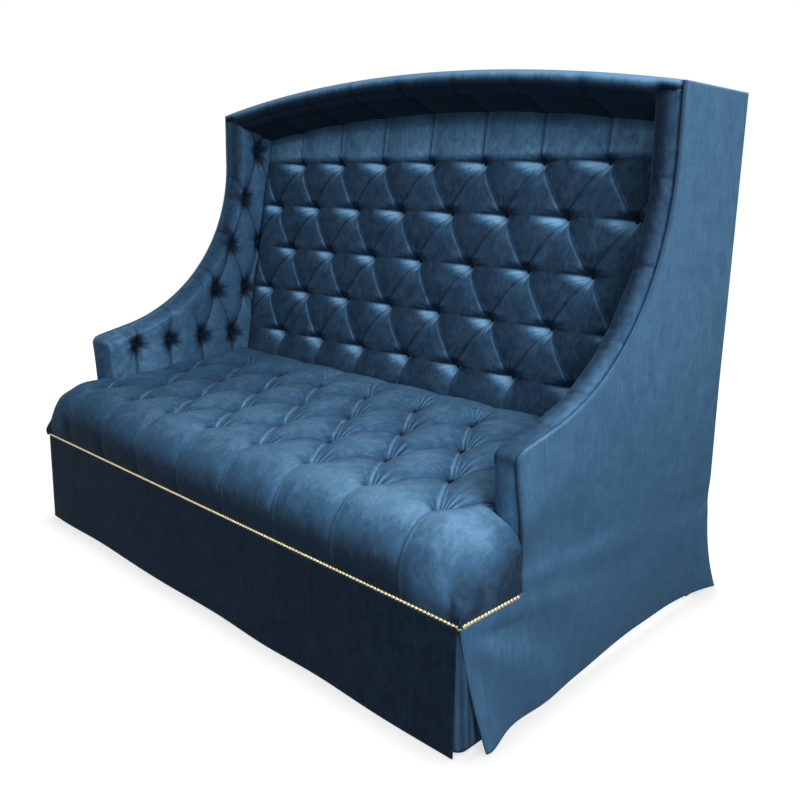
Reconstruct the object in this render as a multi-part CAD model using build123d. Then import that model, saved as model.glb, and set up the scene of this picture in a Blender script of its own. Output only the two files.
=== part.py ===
from build123d import *
import math
import os

# High-backed hooded settee: tufted seat, back and wings, an arched padded hood, and a floor-length skirt.
# Millimetres. X runs to the right seen from the front, Y to the rear, Z up. While the pieces are made,
# Y is counted from the nail line on the seat front; at the end everything moves so that the origin is
# the middle of the footprint on the floor.

os.makedirs("parts", exist_ok=True)

# Overall outline, over the covers
width = 1830.0
nail_z = 297.0
arm_top_y = 170.0
arm_top_z = 617.0
arm_foot_y = 205.0
wing_y = 757.0
sweep_r = 595.0
sweep_deg = 76.7
rear_y = 1112.0
corner_z = 1403.0
arch_rise = 79.0

# Clearances and cutting aids
gap = 0.3
seam_slit = 1.6
overrun = 40.0
crown_lift = 2.0

# Covers, skirt and hem
cover_t = 5.0
skirt_t = 4.0
hem_z = 3.0
side_flare = 33.0
rear_side_flare = 21.0
rear_flare = 58.0
back_hem_in = 30.0
pleat_opening = 62.0
bend_z = 150.0
bend_share = 0.3
side_fold_depth = 5.0
front_fold_depth = 3.0
back_fold_depth = 3.0
side_folds = 4
front_folds = 7
back_folds = 7

# Inserts behind the open corner pleats
insert_t = 3.0
insert_lift = 9.0
insert_reach = 90.0
insert_corner_r = 22.0
insert_flare = 8.0
insert_rear_flare = 28.0

# Timber frame
rail_t = 28.0
rail_h = 80.0
rail_over_nails = 33.0
flap_t = 20.0
panel_t = 22.0
roll_t = 25.0
batten_t = 22.0
batten_w = 45.0
post_w = 45.0
leg_w = 50.0
glide_h = 6.0
glide_r = 20.0
glide_sides = 12
cross_rail_x = 300.0
block_w = 70.0
block_inset = 6.0
stile_t = 24.0
stile_w = 60.0
stile_pitch = 470.0

# Webbing and hessian
webbing_w = 60.0
webbing_t = 2.0
webbing_sag = 12.0
back_strap_pitch = 200.0
seat_strap_pitch = 190.0
sheet_t = 1.2

# Seat
seat_bulge = 10.0
seat_front_crown_z = 486.0
seat_slope_deg = 4.0
seat_roll_r = 118.0
ear_roll_r = 70.0
seat_edge_r = 35.0
seat_pad_t = 85.0
seat_rows_y = 120.4
seat_row_pitch = 172.6
seat_row_pairs = 2

# Tufting: one pitch across seat and back
tuft_pitch = 213.3
pleat_depth = 24.0
channel_depth = 17.0
pit_depth = 42.0
pit_top_r = 40.0
pit_sides = 6
flank_shares = [(0.26, 0.42), (1.0, 0.0)]
button_r = 11.0
button_h = 6.0
button_top_share = 0.5
button_sides = 6

# Inside back, leaning
back_depth = 279.3
back_first_row = 67.2
back_tuck = 145.0
back_row_pitch = 156.5
back_row_pairs = 2
back_rake_deg = 9.4
back_crown = 50.0
back_behind = 30.0

# Wings
wing_t = 83.0
wing_buttons_in = 135.2
wing_buttons_drop = 34.1
wing_pitch = 138.2
wing_row = 171.7
wing_rows = 5
wing_button_depth = 20.0
wing_button_tuck = 20.0
wing_pleat_depth = 15.0
roll_shares = [(0, 0.9), (0.1, 0.42), (0.26, 0.1), (0.5, 0), (0.82, 0.06), (1, 0.3)]

# Hood
lip_t = 23.0
lip_under = 6.7
lip_bulge = 10.0
lip_front_share = 1 / 3
lip_turn_share = 0.75
ceiling_fall = 50.0
ceiling_lap = 26.0
ceiling_t = 20.0
hood_rail_t = 24.0
hood_rail_h = 50.0
hood_rear_rail_h = 70.0
rib_t = 22.0

# Nailheads
nail_r = 5.4
nail_pitch = 11.09
nail_h = 3.6
nail_sides = 6
nail_rim_share = 0.45

slope = math.radians(seat_slope_deg)
rake = math.radians(back_rake_deg)
sweep_angle = math.radians(sweep_deg)

half = width / 2
flat_x = half - cover_t - gap
panel_in_x = flat_x - panel_t
side_rail_x = panel_in_x - gap - rail_t
back_post_x = panel_in_x - gap - post_w
wing_crown_x = half - wing_t
seat_half = wing_crown_x - 2 * gap

sweep_y = wing_y - sweep_r
sweep_z = arm_top_z + (sweep_r - (arm_top_y - sweep_y) * math.cos(sweep_angle)) / math.sin(sweep_angle)
lean = (arm_foot_y - arm_top_y) / (arm_top_z - nail_z)
arch_r = (half ** 2 + arch_rise ** 2) / (2 * arch_rise)
arch_z = corner_z + arch_rise - arch_r

tack_z = nail_z + seam_slit / 2
skirt_top_z = nail_z - seam_slit / 2
skirt_straight_z = nail_z - 2 * nail_r
batten_low_z = nail_z - flap_t / 2
rail_top_z = nail_z + rail_over_nails
rail_low_z = rail_top_z - rail_h
straps_top_z = rail_top_z + 2 * (webbing_t + gap)
wing_base_z = straps_top_z + gap
foam_z = straps_top_z + gap + sheet_t + gap
seat_under_z = seat_front_crown_z - seat_pad_t
foam_t = seat_under_z - foam_z - gap

across_count = int(2 * (seat_half - 2 * pit_top_r) / tuft_pitch) + 1
seat_counts = [across_count, across_count - 1] * seat_row_pairs
back_counts = [across_count - 1, across_count] * back_row_pairs + [across_count - 1]
half_pitch = tuft_pitch / 2
back_pit_depth = back_crown + button_h
wing_pit_depth = wing_button_depth + button_h
back_button_y = rear_y - back_depth
back_button_z = seat_front_crown_z + (back_button_y - seat_rows_y) * math.tan(slope) + back_first_row
back_base_z = back_button_z - back_first_row - back_tuck
back_low_v = (back_base_z - back_button_z) / math.cos(rake)
back_high_v = (corner_z - back_button_z) / math.cos(rake)
wing_buttons_y = arm_top_y + wing_buttons_in
wing_buttons_z = arm_top_z - wing_buttons_drop

lip_core_y = wing_y + lip_t
lip_end_y = lip_core_y + hood_rail_t + 2 * gap
lip_core_drop = cover_t + hood_rail_h + gap
lip_drop = lip_core_drop + lip_under
ceiling_drop = lip_drop + ceiling_fall

sheet_behind = back_behind + gap
straps_behind = sheet_behind + sheet_t + gap
cross_behind = straps_behind + webbing_t + gap
stile_behind = cross_behind + webbing_t + gap
post_end_y = rear_y - cover_t - insert_t - 3 * gap
post_y = post_end_y - post_w

back_plane = Plane(
    origin=(0, back_button_y, back_button_z),
    x_dir=(1, 0, 0),
    z_dir=(0, -math.cos(rake), math.sin(rake)),
)
parts = {}


def back_y(z, w):
    """Y of the leaning back at a height, at a distance w in front of the button plane."""
    rise = z - back_button_z
    return back_button_y + rise * math.tan(rake) - w / math.cos(rake)


seat_rear_rail_y = back_y(rail_top_z, -stile_behind)
ceiling_rear_y = back_y(corner_z + arch_rise - ceiling_drop, back_crown) + ceiling_lap


def block(x0, x1, y0, y1, z0, z1):
    """A box between two corners."""
    size = Box(x1 - x0, y1 - y0, z1 - z0)
    return Pos((x0 + x1) / 2, (y0 + y1) / 2, (z0 + z1) / 2) * size


def outline(*segments):
    """A face inside a closed run of lines and arcs."""
    return make_face(Curve() + list(segments))


def polygon(points):
    """A face inside straight lines through the points."""
    return make_face(Polyline(*points, close=True))


def both_sides(name, solid):
    """Keep a right-hand piece and its mirror image as two nodes."""
    parts[name + "_right"] = solid
    parts[name + "_left"] = mirror(solid, about=Plane.YZ)


def pair(solid):
    """A right-hand piece and its mirror image in one node."""
    return [solid, mirror(solid, about=Plane.YZ)]


def between_sides(solid, x_limit):
    """The stretch of a piece that lies between the two sides."""
    reach = 2 * rear_y
    return solid & block(-x_limit, x_limit, -reach, reach, -reach, reach)


def arm_front_y(z, inset):
    """Y of the arm's front edge at a height."""
    return arm_top_y + inset + (arm_top_z - z) * lean


def wing_outline(x, inset, low_z, high_z, end_y):
    """Side outline at one X: upright wing edge, concave sweep, low arm and its front."""
    radius = sweep_r + inset

    def on_sweep(angle):
        return (x, sweep_y + radius * math.cos(angle), sweep_z - radius * math.sin(angle))

    end = on_sweep(sweep_angle)
    run = end[1] - arm_front_y(end[2], inset)
    run = run / (math.sin(sweep_angle) + math.cos(sweep_angle) * lean)
    tip = (x, end[1] - run * math.sin(sweep_angle), end[2] - run * math.cos(sweep_angle))
    foot = (x, arm_front_y(low_z, inset), low_z)
    return outline(
        Line((x, wing_y + inset, high_z), on_sweep(0)),
        ThreePointArc(on_sweep(0), on_sweep(sweep_angle / 2), end),
        Line(end, tip),
        Line(tip, foot),
        Line(foot, (x, end_y, low_z)),
        Line((x, end_y, low_z), (x, end_y, high_z)),
        Line((x, end_y, high_z), (x, wing_y + inset, high_z)),
    )


def cusp(half_width, depth):
    """Cross-section of a sewn pleat: two flanks, steep in the valley and easing to the crown."""
    right = [(half_width * across, -depth * down) for across, down in flank_shares]
    left = [(-x, y) for x, y in reversed(right)]
    top = [(half_width, overrun), (-half_width, overrun)]
    return polygon(left + [(0, -depth)] + right + top)


def pleat(start, end, normal, half_width, depth):
    """Cutter for one straight pleat, from start to end on the crown surface."""
    start, end, normal = Vector(start), Vector(end), Vector(normal)
    along = end - start
    plane = Plane(origin=start, x_dir=normal.cross(along), z_dir=along)
    return extrude(plane * cusp(half_width, depth), amount=along.length)


def pit(centre, normal, depth):
    """Cutter for the hollow over one button, flat at its foot."""
    foot = Vector(centre) - Vector(normal) * depth
    plane = Plane(origin=foot, z_dir=normal)
    height = depth + overrun / 2
    low = plane * RegularPolygon(button_r + gap, pit_sides, major_radius=False)
    high = plane.offset(height) * RegularPolygon(pit_top_r * height / depth, pit_sides, major_radius=False)
    return loft([low, high], ruled=True)


def button(centre, normal, depth):
    """Covered button on the foot of its pit, with a low crown."""
    foot = Vector(centre) - Vector(normal) * (depth - gap)
    plane = Plane(origin=foot, z_dir=normal)
    sections = [(button_r, 0), (button_r * button_top_share, button_h)]
    faces = [plane.offset(h) * RegularPolygon(r, button_sides) for r, h in sections]
    return loft(faces, ruled=True)


def tuft_places(row_counts):
    """Button places, as pitches across and row number."""
    places = []
    for row, count in enumerate(row_counts):
        for k in range(count):
            places.append((k - (count - 1) / 2, row))
    return places


def tuft_lines(row_counts):
    """Pleat lines through the rows, both ways, as pairs of (pitches across, row)."""
    last = len(row_counts) - 1
    reach = max(row_counts) / 2
    lines = []
    for row in range(last + 1):
        count = row_counts[row]
        starts = [k - (count - 1) / 2 for k in range(count)]
        edge = -(count + 1) / 2
        if count < max(row_counts):
            starts.insert(0, edge)
        for across in starts:
            if row > 0 and across != edge:
                continue
            steps = min(last - row, round((reach - across) * 2))
            if steps > 0:
                lines.append(((across, row), (across + steps / 2, row + steps)))
    return lines + [((-a, r), (-b, s)) for (a, r), (b, s) in lines]


def arch_top(x, drop):
    """Height of the hood's arch at X, less a drop."""
    return arch_z + math.sqrt((arch_r - drop) ** 2 - x ** 2)


def hood_turn(face, x_limit):
    """Turn a section about the arch's own axis, and trim it between the sides."""
    half_turn = math.degrees(math.asin((half + overrun) / (arch_r - ceiling_drop)))
    axis = Axis((0, 0, arch_z), (0, 1, 0))
    turned = revolve(face.rotate(axis, -half_turn), axis, 2 * half_turn)
    return between_sides(turned, x_limit)


def hood_point(y, drop):
    """A point of a hood section, by its drop below the arch."""
    return (0, y, arch_z + arch_r - drop)


def fold_section(z, start, end, depth, thickness, outward):
    """One level of one fold of hanging cloth: a bowed strip between two ends."""
    a, b, out = Vector(*start, z), Vector(*end, z), Vector(*outward, 0)
    c, d = a - out * thickness, b - out * thickness
    bow = out * depth
    if depth:
        front = ThreePointArc(a, (a + b) / 2 + bow, b)
        behind = ThreePointArc(d, (c + d) / 2 + bow, c)
    else:
        front, behind = Line(a, b), Line(d, c)
    return outline(front, Line(b, d), behind, Line(c, a))


def hanging_cloth(levels, folds, thickness, outward):
    """Hanging cloth with round folds, through levels of (z, one end, other end, fold depth)."""
    cloth = []
    for k in range(folds):
        faces = []
        for z, start, end, depth in levels:
            step = (Vector(*end) - Vector(*start)) / folds
            a = Vector(*start) + step * k
            b = a + step
            way = depth if k % 2 == 0 else -depth
            faces.append(fold_section(z, (a.X, a.Y), (b.X, b.Y), way, thickness, outward))
        cloth.append(loft(faces, ruled=True))
    return cloth[0] + cloth[1:]


def crown_at(y):
    """Height of the seat's crown."""
    return seat_front_crown_z + (y - seat_rows_y) * math.tan(slope)


def round_nose(across, edge, top_z, radius, to_rear):
    """Outline from the tacked edge over the belly and the round nose, up to the crown."""
    belly_low_z = nail_z + nail_r + gap
    nose_z = top_z - radius * math.cos(to_rear)
    drop = nose_z - belly_low_z
    belly_r = (seat_bulge ** 2 + drop ** 2) / (2 * seat_bulge)
    belly_mid = math.asin(drop / belly_r) / 2
    belly_in = belly_r * (1 - math.cos(belly_mid))
    belly_z = nose_z - belly_r * math.sin(belly_mid)
    nose_mid = (math.pi / 2 - to_rear) / 2
    nose_end = math.pi / 2 - to_rear

    def on_nose(angle):
        inward = radius * (1 - math.cos(angle)) - seat_bulge
        return across(edge + inward, nose_z + radius * math.sin(angle))

    belly = across(edge - seat_bulge + belly_in, belly_z)
    segments = [
        Line(across(edge, tack_z), across(edge, belly_low_z)),
        ThreePointArc(across(edge, belly_low_z), belly, on_nose(0)),
        ThreePointArc(on_nose(0), on_nose(nose_mid), on_nose(nose_end)),
    ]
    return segments, on_nose(nose_end)


def seat_side_profile():
    """Seat pad in side view: tacked edge, bulged front, round nose, sloped crown, drawn-in rear."""
    def across(y, z):
        return (0, y, z)

    front_top = crown_at(seat_roll_r - seat_bulge - seat_roll_r * math.sin(slope))
    segments, crown_start = round_nose(across, 0, front_top, seat_roll_r, slope)
    rear_y_top = back_y(crown_at(back_button_y - back_crown), back_crown) - gap
    turn_z = crown_at(rear_y_top) - seat_edge_r
    turn_y = back_y(turn_z, back_crown) - gap
    crown_end_y = turn_y - seat_edge_r
    mid = seat_edge_r * math.sin(math.pi / 4)
    low_y = back_y(tack_z, back_crown) - gap
    crown_end = (0, crown_end_y, crown_at(crown_end_y))
    return outline(
        *segments,
        Line(crown_start, crown_end),
        ThreePointArc(crown_end, (0, crown_end_y + mid, turn_z + mid), (0, turn_y, turn_z)),
        Line((0, turn_y, turn_z), (0, low_y, tack_z)),
        Line((0, low_y, tack_z), (0, 0, tack_z)),
    )


def seat_ear_profile():
    """Front view of the two ears that reach out in front of the arms."""
    top_z = crown_at(arm_foot_y)

    def right(inward, z):
        return (half - inward, 0, z)

    def left(inward, z):
        return (inward - half, 0, z)

    right_side, right_top = round_nose(right, 0, top_z, ear_roll_r, 0)
    left_side, left_top = round_nose(left, 0, top_z, ear_roll_r, 0)
    return outline(
        *right_side,
        Line(right_top, left_top),
        *left_side,
        Line(right(0, tack_z), left(0, tack_z)),
    )


def seat_inside():
    """Room under the pad for the rails, the tacking battens and the foam."""
    batten_top = rail_top_z - flap_t
    under = foam_z + foam_t + gap
    reach = half - flap_t
    side_reach = half - skirt_t
    front = polygon([
        (0, skirt_t, rail_low_z),
        (0, skirt_t, batten_top),
        (0, flap_t, rail_top_z),
        (0, flap_t, under),
        (0, rear_y, under),
        (0, rear_y, rail_low_z),
    ])
    side = polygon([
        (side_reach, 0, rail_low_z),
        (side_reach, 0, batten_top),
        (reach, 0, rail_top_z),
        (reach, 0, under),
        (-reach, 0, under),
        (-reach, 0, rail_top_z),
        (-side_reach, 0, batten_top),
        (-side_reach, 0, rail_low_z),
    ])
    along_x = extrude(front, amount=half, dir=(1, 0, 0), both=True)
    along_y = extrude(side, amount=rear_y, dir=(0, 1, 0))
    return along_x & along_y


def seat_point(across, row):
    """A button's place on the seat's crown."""
    y = seat_rows_y + row * seat_row_pitch
    return Vector(across * tuft_pitch, y, crown_at(y))


def make_seat_pad():
    """Tufted seat pad with its ears, sewn pleats and button pits."""
    normal = (0, -math.sin(slope), math.cos(slope))
    lift = Vector(normal) * crown_lift
    whole = extrude(seat_side_profile(), amount=half + overrun, dir=(1, 0, 0), both=True)
    ears = whole & extrude(seat_ear_profile(), amount=2 * rear_y, dir=(0, 1, 0), both=True)
    front_high = crown_at(arm_foot_y) + overrun
    ears &= extrude(
        polygon([
            (0, -overrun, tack_z - overrun),
            (0, arm_front_y(tack_z - overrun, 0) - gap, tack_z - overrun),
            (0, arm_front_y(front_high, 0) - gap, front_high),
            (0, -overrun, front_high),
        ]),
        amount=half + overrun, dir=(1, 0, 0), both=True,
    )
    inner = whole & block(-seat_half, seat_half, arm_top_y, rear_y, tack_z - overrun, corner_z)
    pad = ears + inner - seat_inside()
    cutters = []
    for a, b in tuft_lines(seat_counts):
        cutters.append(pleat(seat_point(*a) + lift, seat_point(*b) + lift, normal,
                             diagonal_half(seat_row_pitch), pleat_depth))
    last = len(seat_counts) - 1
    for across, row in tuft_places(seat_counts):
        place = seat_point(across, row) + lift
        cutters.append(pit(place, normal, pit_depth))
        if row == 0:
            cutters.append(front_pleat(place.X))
        if row == last:
            rear = seat_point(across, row + 2) + lift
            cutters.append(pleat(place, rear, normal, half_pitch, channel_depth))
    for side in (-1, 1):
        a = Vector(side * seat_half, arm_foot_y, crown_at(arm_foot_y)) + lift
        b = Vector(side * seat_half, rear_y, crown_at(rear_y)) + lift
        cutters.append(pleat(a, b, normal, diagonal_half(seat_row_pitch), pleat_depth))
    return pad - cutters


def front_pleat(x):
    """Cutter for the straight pleat that runs from a front button down to the nails."""
    top_z = crown_at(seat_roll_r - seat_bulge - seat_roll_r * math.sin(slope))
    radius = seat_roll_r + crown_lift
    centre_y = seat_roll_r - seat_bulge
    centre_z = top_z - seat_roll_r * math.cos(slope)

    def on_nose(angle):
        return (x, centre_y - radius * math.cos(angle), centre_z + radius * math.sin(angle))

    top = math.pi / 2 - slope
    start = Vector(x, seat_rows_y, crown_at(seat_rows_y) + crown_lift)
    foot = (x, -seat_bulge - crown_lift, nail_z - overrun)
    path = Curve() + [
        Line(start, on_nose(top)),
        ThreePointArc(on_nose(top), on_nose(top / 2), on_nose(0)),
        Line(on_nose(0), foot),
    ]
    wire = path.wire()
    plane = Plane(origin=start, x_dir=(1, 0, 0), z_dir=wire % 0)
    return sweep(plane * cusp(half_pitch, channel_depth), path=wire)


def diagonal_half(row_pitch):
    """Half the distance between neighbouring diagonal pleats."""
    run = math.hypot(half_pitch, row_pitch)
    return half_pitch * row_pitch / run


def back_point(across, up, w):
    """A point of the leaning back, from the middle of its lowest button row."""
    return back_plane.from_local_coords((across, up, w))


def make_back_pad(hood):
    """Tufted inside back: diamonds between the rows, straight channels above and below them."""
    size = Box(2 * seat_half, back_high_v - back_low_v, back_crown + back_behind)
    middle = ((back_high_v + back_low_v) / 2, (back_crown - back_behind) / 2)
    pad = back_plane * (Pos(0, *middle) * size) - hood
    normal = back_plane.z_dir
    crown = back_crown + crown_lift
    last = len(back_counts) - 1
    cutters = []

    def place(across, row):
        return back_point(across * tuft_pitch, row * back_row_pitch, crown)

    for a, b in tuft_lines(back_counts):
        cutters.append(pleat(place(*a), place(*b), normal, diagonal_half(back_row_pitch), pleat_depth))
    for across, row in tuft_places(back_counts):
        x = across * tuft_pitch
        cutters.append(pit(place(across, row), normal, back_pit_depth))
        if row == 0:
            low = back_point(x, back_low_v - overrun, crown)
            cutters.append(pleat(low, place(across, row), normal, half_pitch, channel_depth))
        if row == last:
            high = back_point(x, back_high_v, crown)
            cutters.append(pleat(place(across, row), high, normal, half_pitch, channel_depth))
    for side in (-1, 1):
        low = back_point(side * seat_half, back_low_v - overrun, crown)
        high = back_point(side * seat_half, back_high_v, crown)
        cutters.append(pleat(low, high, normal, diagonal_half(back_row_pitch), channel_depth))
    return pad - cutters


def wing_point(k, row):
    """A place in the wing's lozenge grid, on its crown; odd rows stand half a pitch back."""
    return Vector(wing_crown_x, wing_buttons_y + (k + row / 2) * wing_pitch, wing_buttons_z + row * wing_row)


def wing_edge_y(z):
    """Y of the wing's front edge at a height: arm front, sweep or upright."""
    if z >= sweep_z:
        return wing_y
    if z > sweep_z - sweep_r * math.sin(sweep_angle):
        return sweep_y + math.sqrt(sweep_r ** 2 - (sweep_z - z) ** 2)
    return arm_front_y(z, 0)


def wing_places():
    """The grid's button places: clear of the wing's edge, and in front of the back."""
    places = []
    for row in range(wing_rows):
        for k in range(across_count):
            place = wing_point(k, row)
            front = wing_edge_y(place.Z) + pit_top_r
            if front <= place.Y <= back_y(place.Z, -wing_button_tuck):
                places.append((k, row))
    return places


def wing_lines():
    """Pleat lines through the wing's buttons, run on past the last one; those of the arm are upright."""
    places = wing_places()
    lines = []
    for k, row in places:
        if row == 0:
            lines.append(((k, row), (k + 1, row - 2)))
        if row == 0 and (k, 1) not in places and (k - 1, 1) not in places:
            lines.append(((k, row), (k - 1 / 2, row + 1)))
            continue
        for step in (0, -1):
            if (k - step, row - 1) in places:
                continue
            end, end_row = k, row
            while (end, end_row) in places:
                end, end_row = end + step, end_row + 1
            lines.append(((k, row), (end, end_row)))
    return lines


def make_wing_pad(hood):
    """Tufted inside of one wing and arm, with the roll that wraps its front edge."""
    width_in = flat_x - wing_crown_x
    faces = []
    for across, inset in roll_shares:
        x = wing_crown_x + across * width_in
        faces.append(wing_outline(x, inset * roll_t, tack_z, corner_z, rear_y))
    pad = loft(faces, ruled=True) - hood
    slot = wing_outline(panel_in_x - gap, roll_t, 0, corner_z, rear_y + overrun)
    pad -= extrude(slot, amount=panel_t + overrun, dir=(1, 0, 0))
    batten_x = panel_in_x - gap - batten_t - gap
    wide = wing_outline(batten_x, roll_t, 0, corner_z, rear_y + overrun)
    deep = wing_outline(batten_x, roll_t + batten_w + gap, 0, corner_z, rear_y + overrun)
    pad -= extrude(wide - deep, amount=batten_t + overrun, dir=(1, 0, 0))
    pad -= block(0, panel_in_x, 0, rear_y, 0, wing_base_z)
    behind = polygon([
        (0, back_y(0, -back_behind), 0),
        (0, back_y(2 * corner_z, -back_behind), 2 * corner_z),
        (0, 2 * rear_y, 2 * corner_z),
        (0, 2 * rear_y, 0),
    ])
    pad -= extrude(behind, amount=half, dir=(1, 0, 0))
    normal = Vector(-1, 0, 0)
    lift = normal * crown_lift
    across_half = wing_pitch * wing_row / math.hypot(wing_pitch / 2, wing_row) / 2
    cutters = []
    for start, end in wing_lines():
        a, b = wing_point(*start) + lift, wing_point(*end) + lift
        cutters.append(pleat(a, b, normal, across_half, wing_pleat_depth))
    for k, row in wing_places():
        cutters.append(pit(wing_point(k, row) + lift, normal, wing_pit_depth))
    return pad - cutters


def lip_edge(grow):
    """Front and underside of the hood's padded lip, from its top seam to the ceiling."""
    top = hood_point(wing_y - grow, 0)
    front = hood_point(wing_y - lip_bulge - grow, lip_drop * lip_front_share)
    turn = hood_point(wing_y + lip_bulge - grow, lip_drop * lip_turn_share + grow)
    under = hood_point((wing_y + lip_bulge + lip_end_y) / 2, lip_drop + grow)
    end = hood_point(lip_end_y, lip_drop + grow)
    return [ThreePointArc(top, front, turn), ThreePointArc(turn, under, end)], top, end


def hood_room(grow):
    """Everything above the hood's padded underside, to trim what stands beneath it."""
    edge, top, end = lip_edge(grow)
    rear = hood_point(ceiling_rear_y, ceiling_drop + grow)
    far = hood_point(2 * rear_y, ceiling_drop + grow)
    high_far = hood_point(2 * rear_y, -arch_rise - overrun)
    high = hood_point(wing_y - grow, -arch_rise - overrun)
    section = outline(
        *edge, Line(end, rear), Line(rear, far), Line(far, high_far), Line(high_far, high), Line(high, top)
    )
    return hood_turn(section, half + overrun)


def make_lip():
    """Padded roll along the hood's front edge, wrapped round the front rail."""
    edge, top, end = lip_edge(0)
    back_up = hood_point(lip_end_y, lip_core_drop)
    core_in = hood_point(lip_core_y, lip_core_drop)
    core_top = hood_point(lip_core_y, 0)
    section = outline(*edge, Line(end, back_up), Line(back_up, core_in), Line(core_in, core_top),
                      Line(core_top, top))
    lip = hood_turn(section, flat_x)
    for side in (-1, 1):
        inner_x, outer_x = sorted((side * (panel_in_x - gap), side * half))
        lip -= block(inner_x, outer_x, lip_core_y, lip_end_y + overrun, 0, 2 * corner_z)
    return lip


def hood_strip(points, x_limit):
    """A piece of the hood from a straight-sided section of (y, drop) points."""
    return hood_turn(polygon([hood_point(y, drop) for y, drop in points]), x_limit)


def make_side_cover():
    """Outside of one arm and wing: one cloth from the top edge to the hem, with soft folds low down."""
    inner_x = half - cover_t
    upper = extrude(wing_outline(inner_x, 0, skirt_top_z, corner_z, rear_y), amount=cover_t, dir=(1, 0, 0))
    levels = []
    for z, share in skirt_levels():
        front = (half + side_flare * share, skirt_t + (pleat_opening - skirt_t) * share)
        rear = (half + rear_side_flare * share, rear_y + rear_flare * share)
        levels.append((z, front, rear, side_fold_depth * share))
    lower = hanging_cloth(levels, side_folds, cover_t, (1, 0))
    return upper + lower


def skirt_levels():
    """Heights of the skirt's sections, with the share of its flare that each has."""
    return [(skirt_top_z, 0), (skirt_straight_z, 0), (bend_z, bend_share), (hem_z, 1)]


def make_front_skirt():
    """Front skirt, nearly plumb from the nails to the hem."""
    levels = []
    for z, share in skirt_levels():
        levels.append((z, (-flat_x, 0), (flat_x, 0), front_fold_depth * share))
    return hanging_cloth(levels, front_folds, skirt_t, (0, -1))


def make_back_cover():
    """Outside back: one cloth from the hood to the hem, arched at its top."""
    top_drop = cover_t + gap
    corner = arch_top(flat_x, top_drop)
    low_left, low_right = (-flat_x, rear_y, skirt_top_z), (flat_x, rear_y, skirt_top_z)
    high_left, high_right = (-flat_x, rear_y, corner), (flat_x, rear_y, corner)
    panel = outline(
        Line(low_left, high_left),
        ThreePointArc(high_left, (0, rear_y, arch_top(0, top_drop)), high_right),
        Line(high_right, low_right),
        Line(low_right, low_left),
    )
    upper = extrude(panel, amount=cover_t, dir=(0, -1, 0))
    levels = []
    for z, share in skirt_levels():
        y = rear_y + rear_flare * share
        x = flat_x - back_hem_in * share
        levels.append((z, (-x, y), (x, y), back_fold_depth * share))
    lower = hanging_cloth(levels, back_folds, cover_t, (0, 1))
    return upper + lower


def make_insert(top_y, low_y, inward):
    """Cloth behind a corner's open pleat, wrapped round the corner; inward is +1 at the front."""
    high = corner_strip(batten_low_z - gap, flat_x - gap, top_y, inward)
    low = corner_strip(hem_z + insert_lift, flat_x + insert_flare, low_y, inward)
    return loft([high, low], ruled=True)


def corner_strip(z, x, y, inward):
    """One level of a corner insert: two straight legs and a round bend."""
    centre_x = x - insert_corner_r
    centre_y = y + inward * insert_corner_r

    def bend(offset):
        mid = (insert_corner_r - offset) * math.cos(math.pi / 4)
        return [
            (x - insert_reach, y + inward * offset, z),
            (centre_x, y + inward * offset, z),
            (centre_x + mid, centre_y - inward * mid, z),
            (x - offset, centre_y, z),
            (x - offset, y + inward * insert_reach, z),
        ]

    a, b = bend(0), bend(insert_t)
    return outline(
        Line(a[0], a[1]), ThreePointArc(a[1], a[2], a[3]), Line(a[3], a[4]),
        Line(a[4], b[4]), Line(b[4], b[3]), ThreePointArc(b[3], b[2], b[1]), Line(b[1], b[0]),
        Line(b[0], a[0]),
    )


def nail_row(start, step, count, normal):
    """A close row of nailheads."""
    return [nail(Vector(start) + Vector(step) * k, normal) for k in range(count)]


def nail(centre, normal):
    """One domed nailhead, with few faces."""
    plane = Plane(origin=centre, z_dir=normal)
    sections = [(nail_r, 0), (nail_r * nail_rim_share, nail_h)]
    return loft([plane.offset(h) * RegularPolygon(r, nail_sides) for r, h in sections], ruled=True)


def make_panel():
    """Sawn ply side that carries the seat, the wing and the hood."""
    end_y = rear_y - cover_t - gap
    face = wing_outline(panel_in_x, roll_t + gap, batten_low_z, corner_z - cover_t, end_y)
    return extrude(face, amount=panel_t, dir=(1, 0, 0))


def make_arm_batten(hood):
    """Curved batten inside the ply side's front edge, which gives the arm and wing their width."""
    x = panel_in_x - gap - batten_t
    wide = wing_outline(x, roll_t + gap, wing_base_z, corner_z, rear_y)
    deep = wing_outline(x, roll_t + batten_w, 0, corner_z + overrun, rear_y + overrun)
    return extrude(wide - deep, amount=batten_t, dir=(1, 0, 0)) - hood


def bars_across(pitch, bar_w):
    """X places of upright bars or straps, as many as fit between the wings."""
    count = int(2 * (seat_half - bar_w) / pitch) + 1
    return [(k - (count - 1) / 2) * pitch for k in range(count)]


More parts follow.
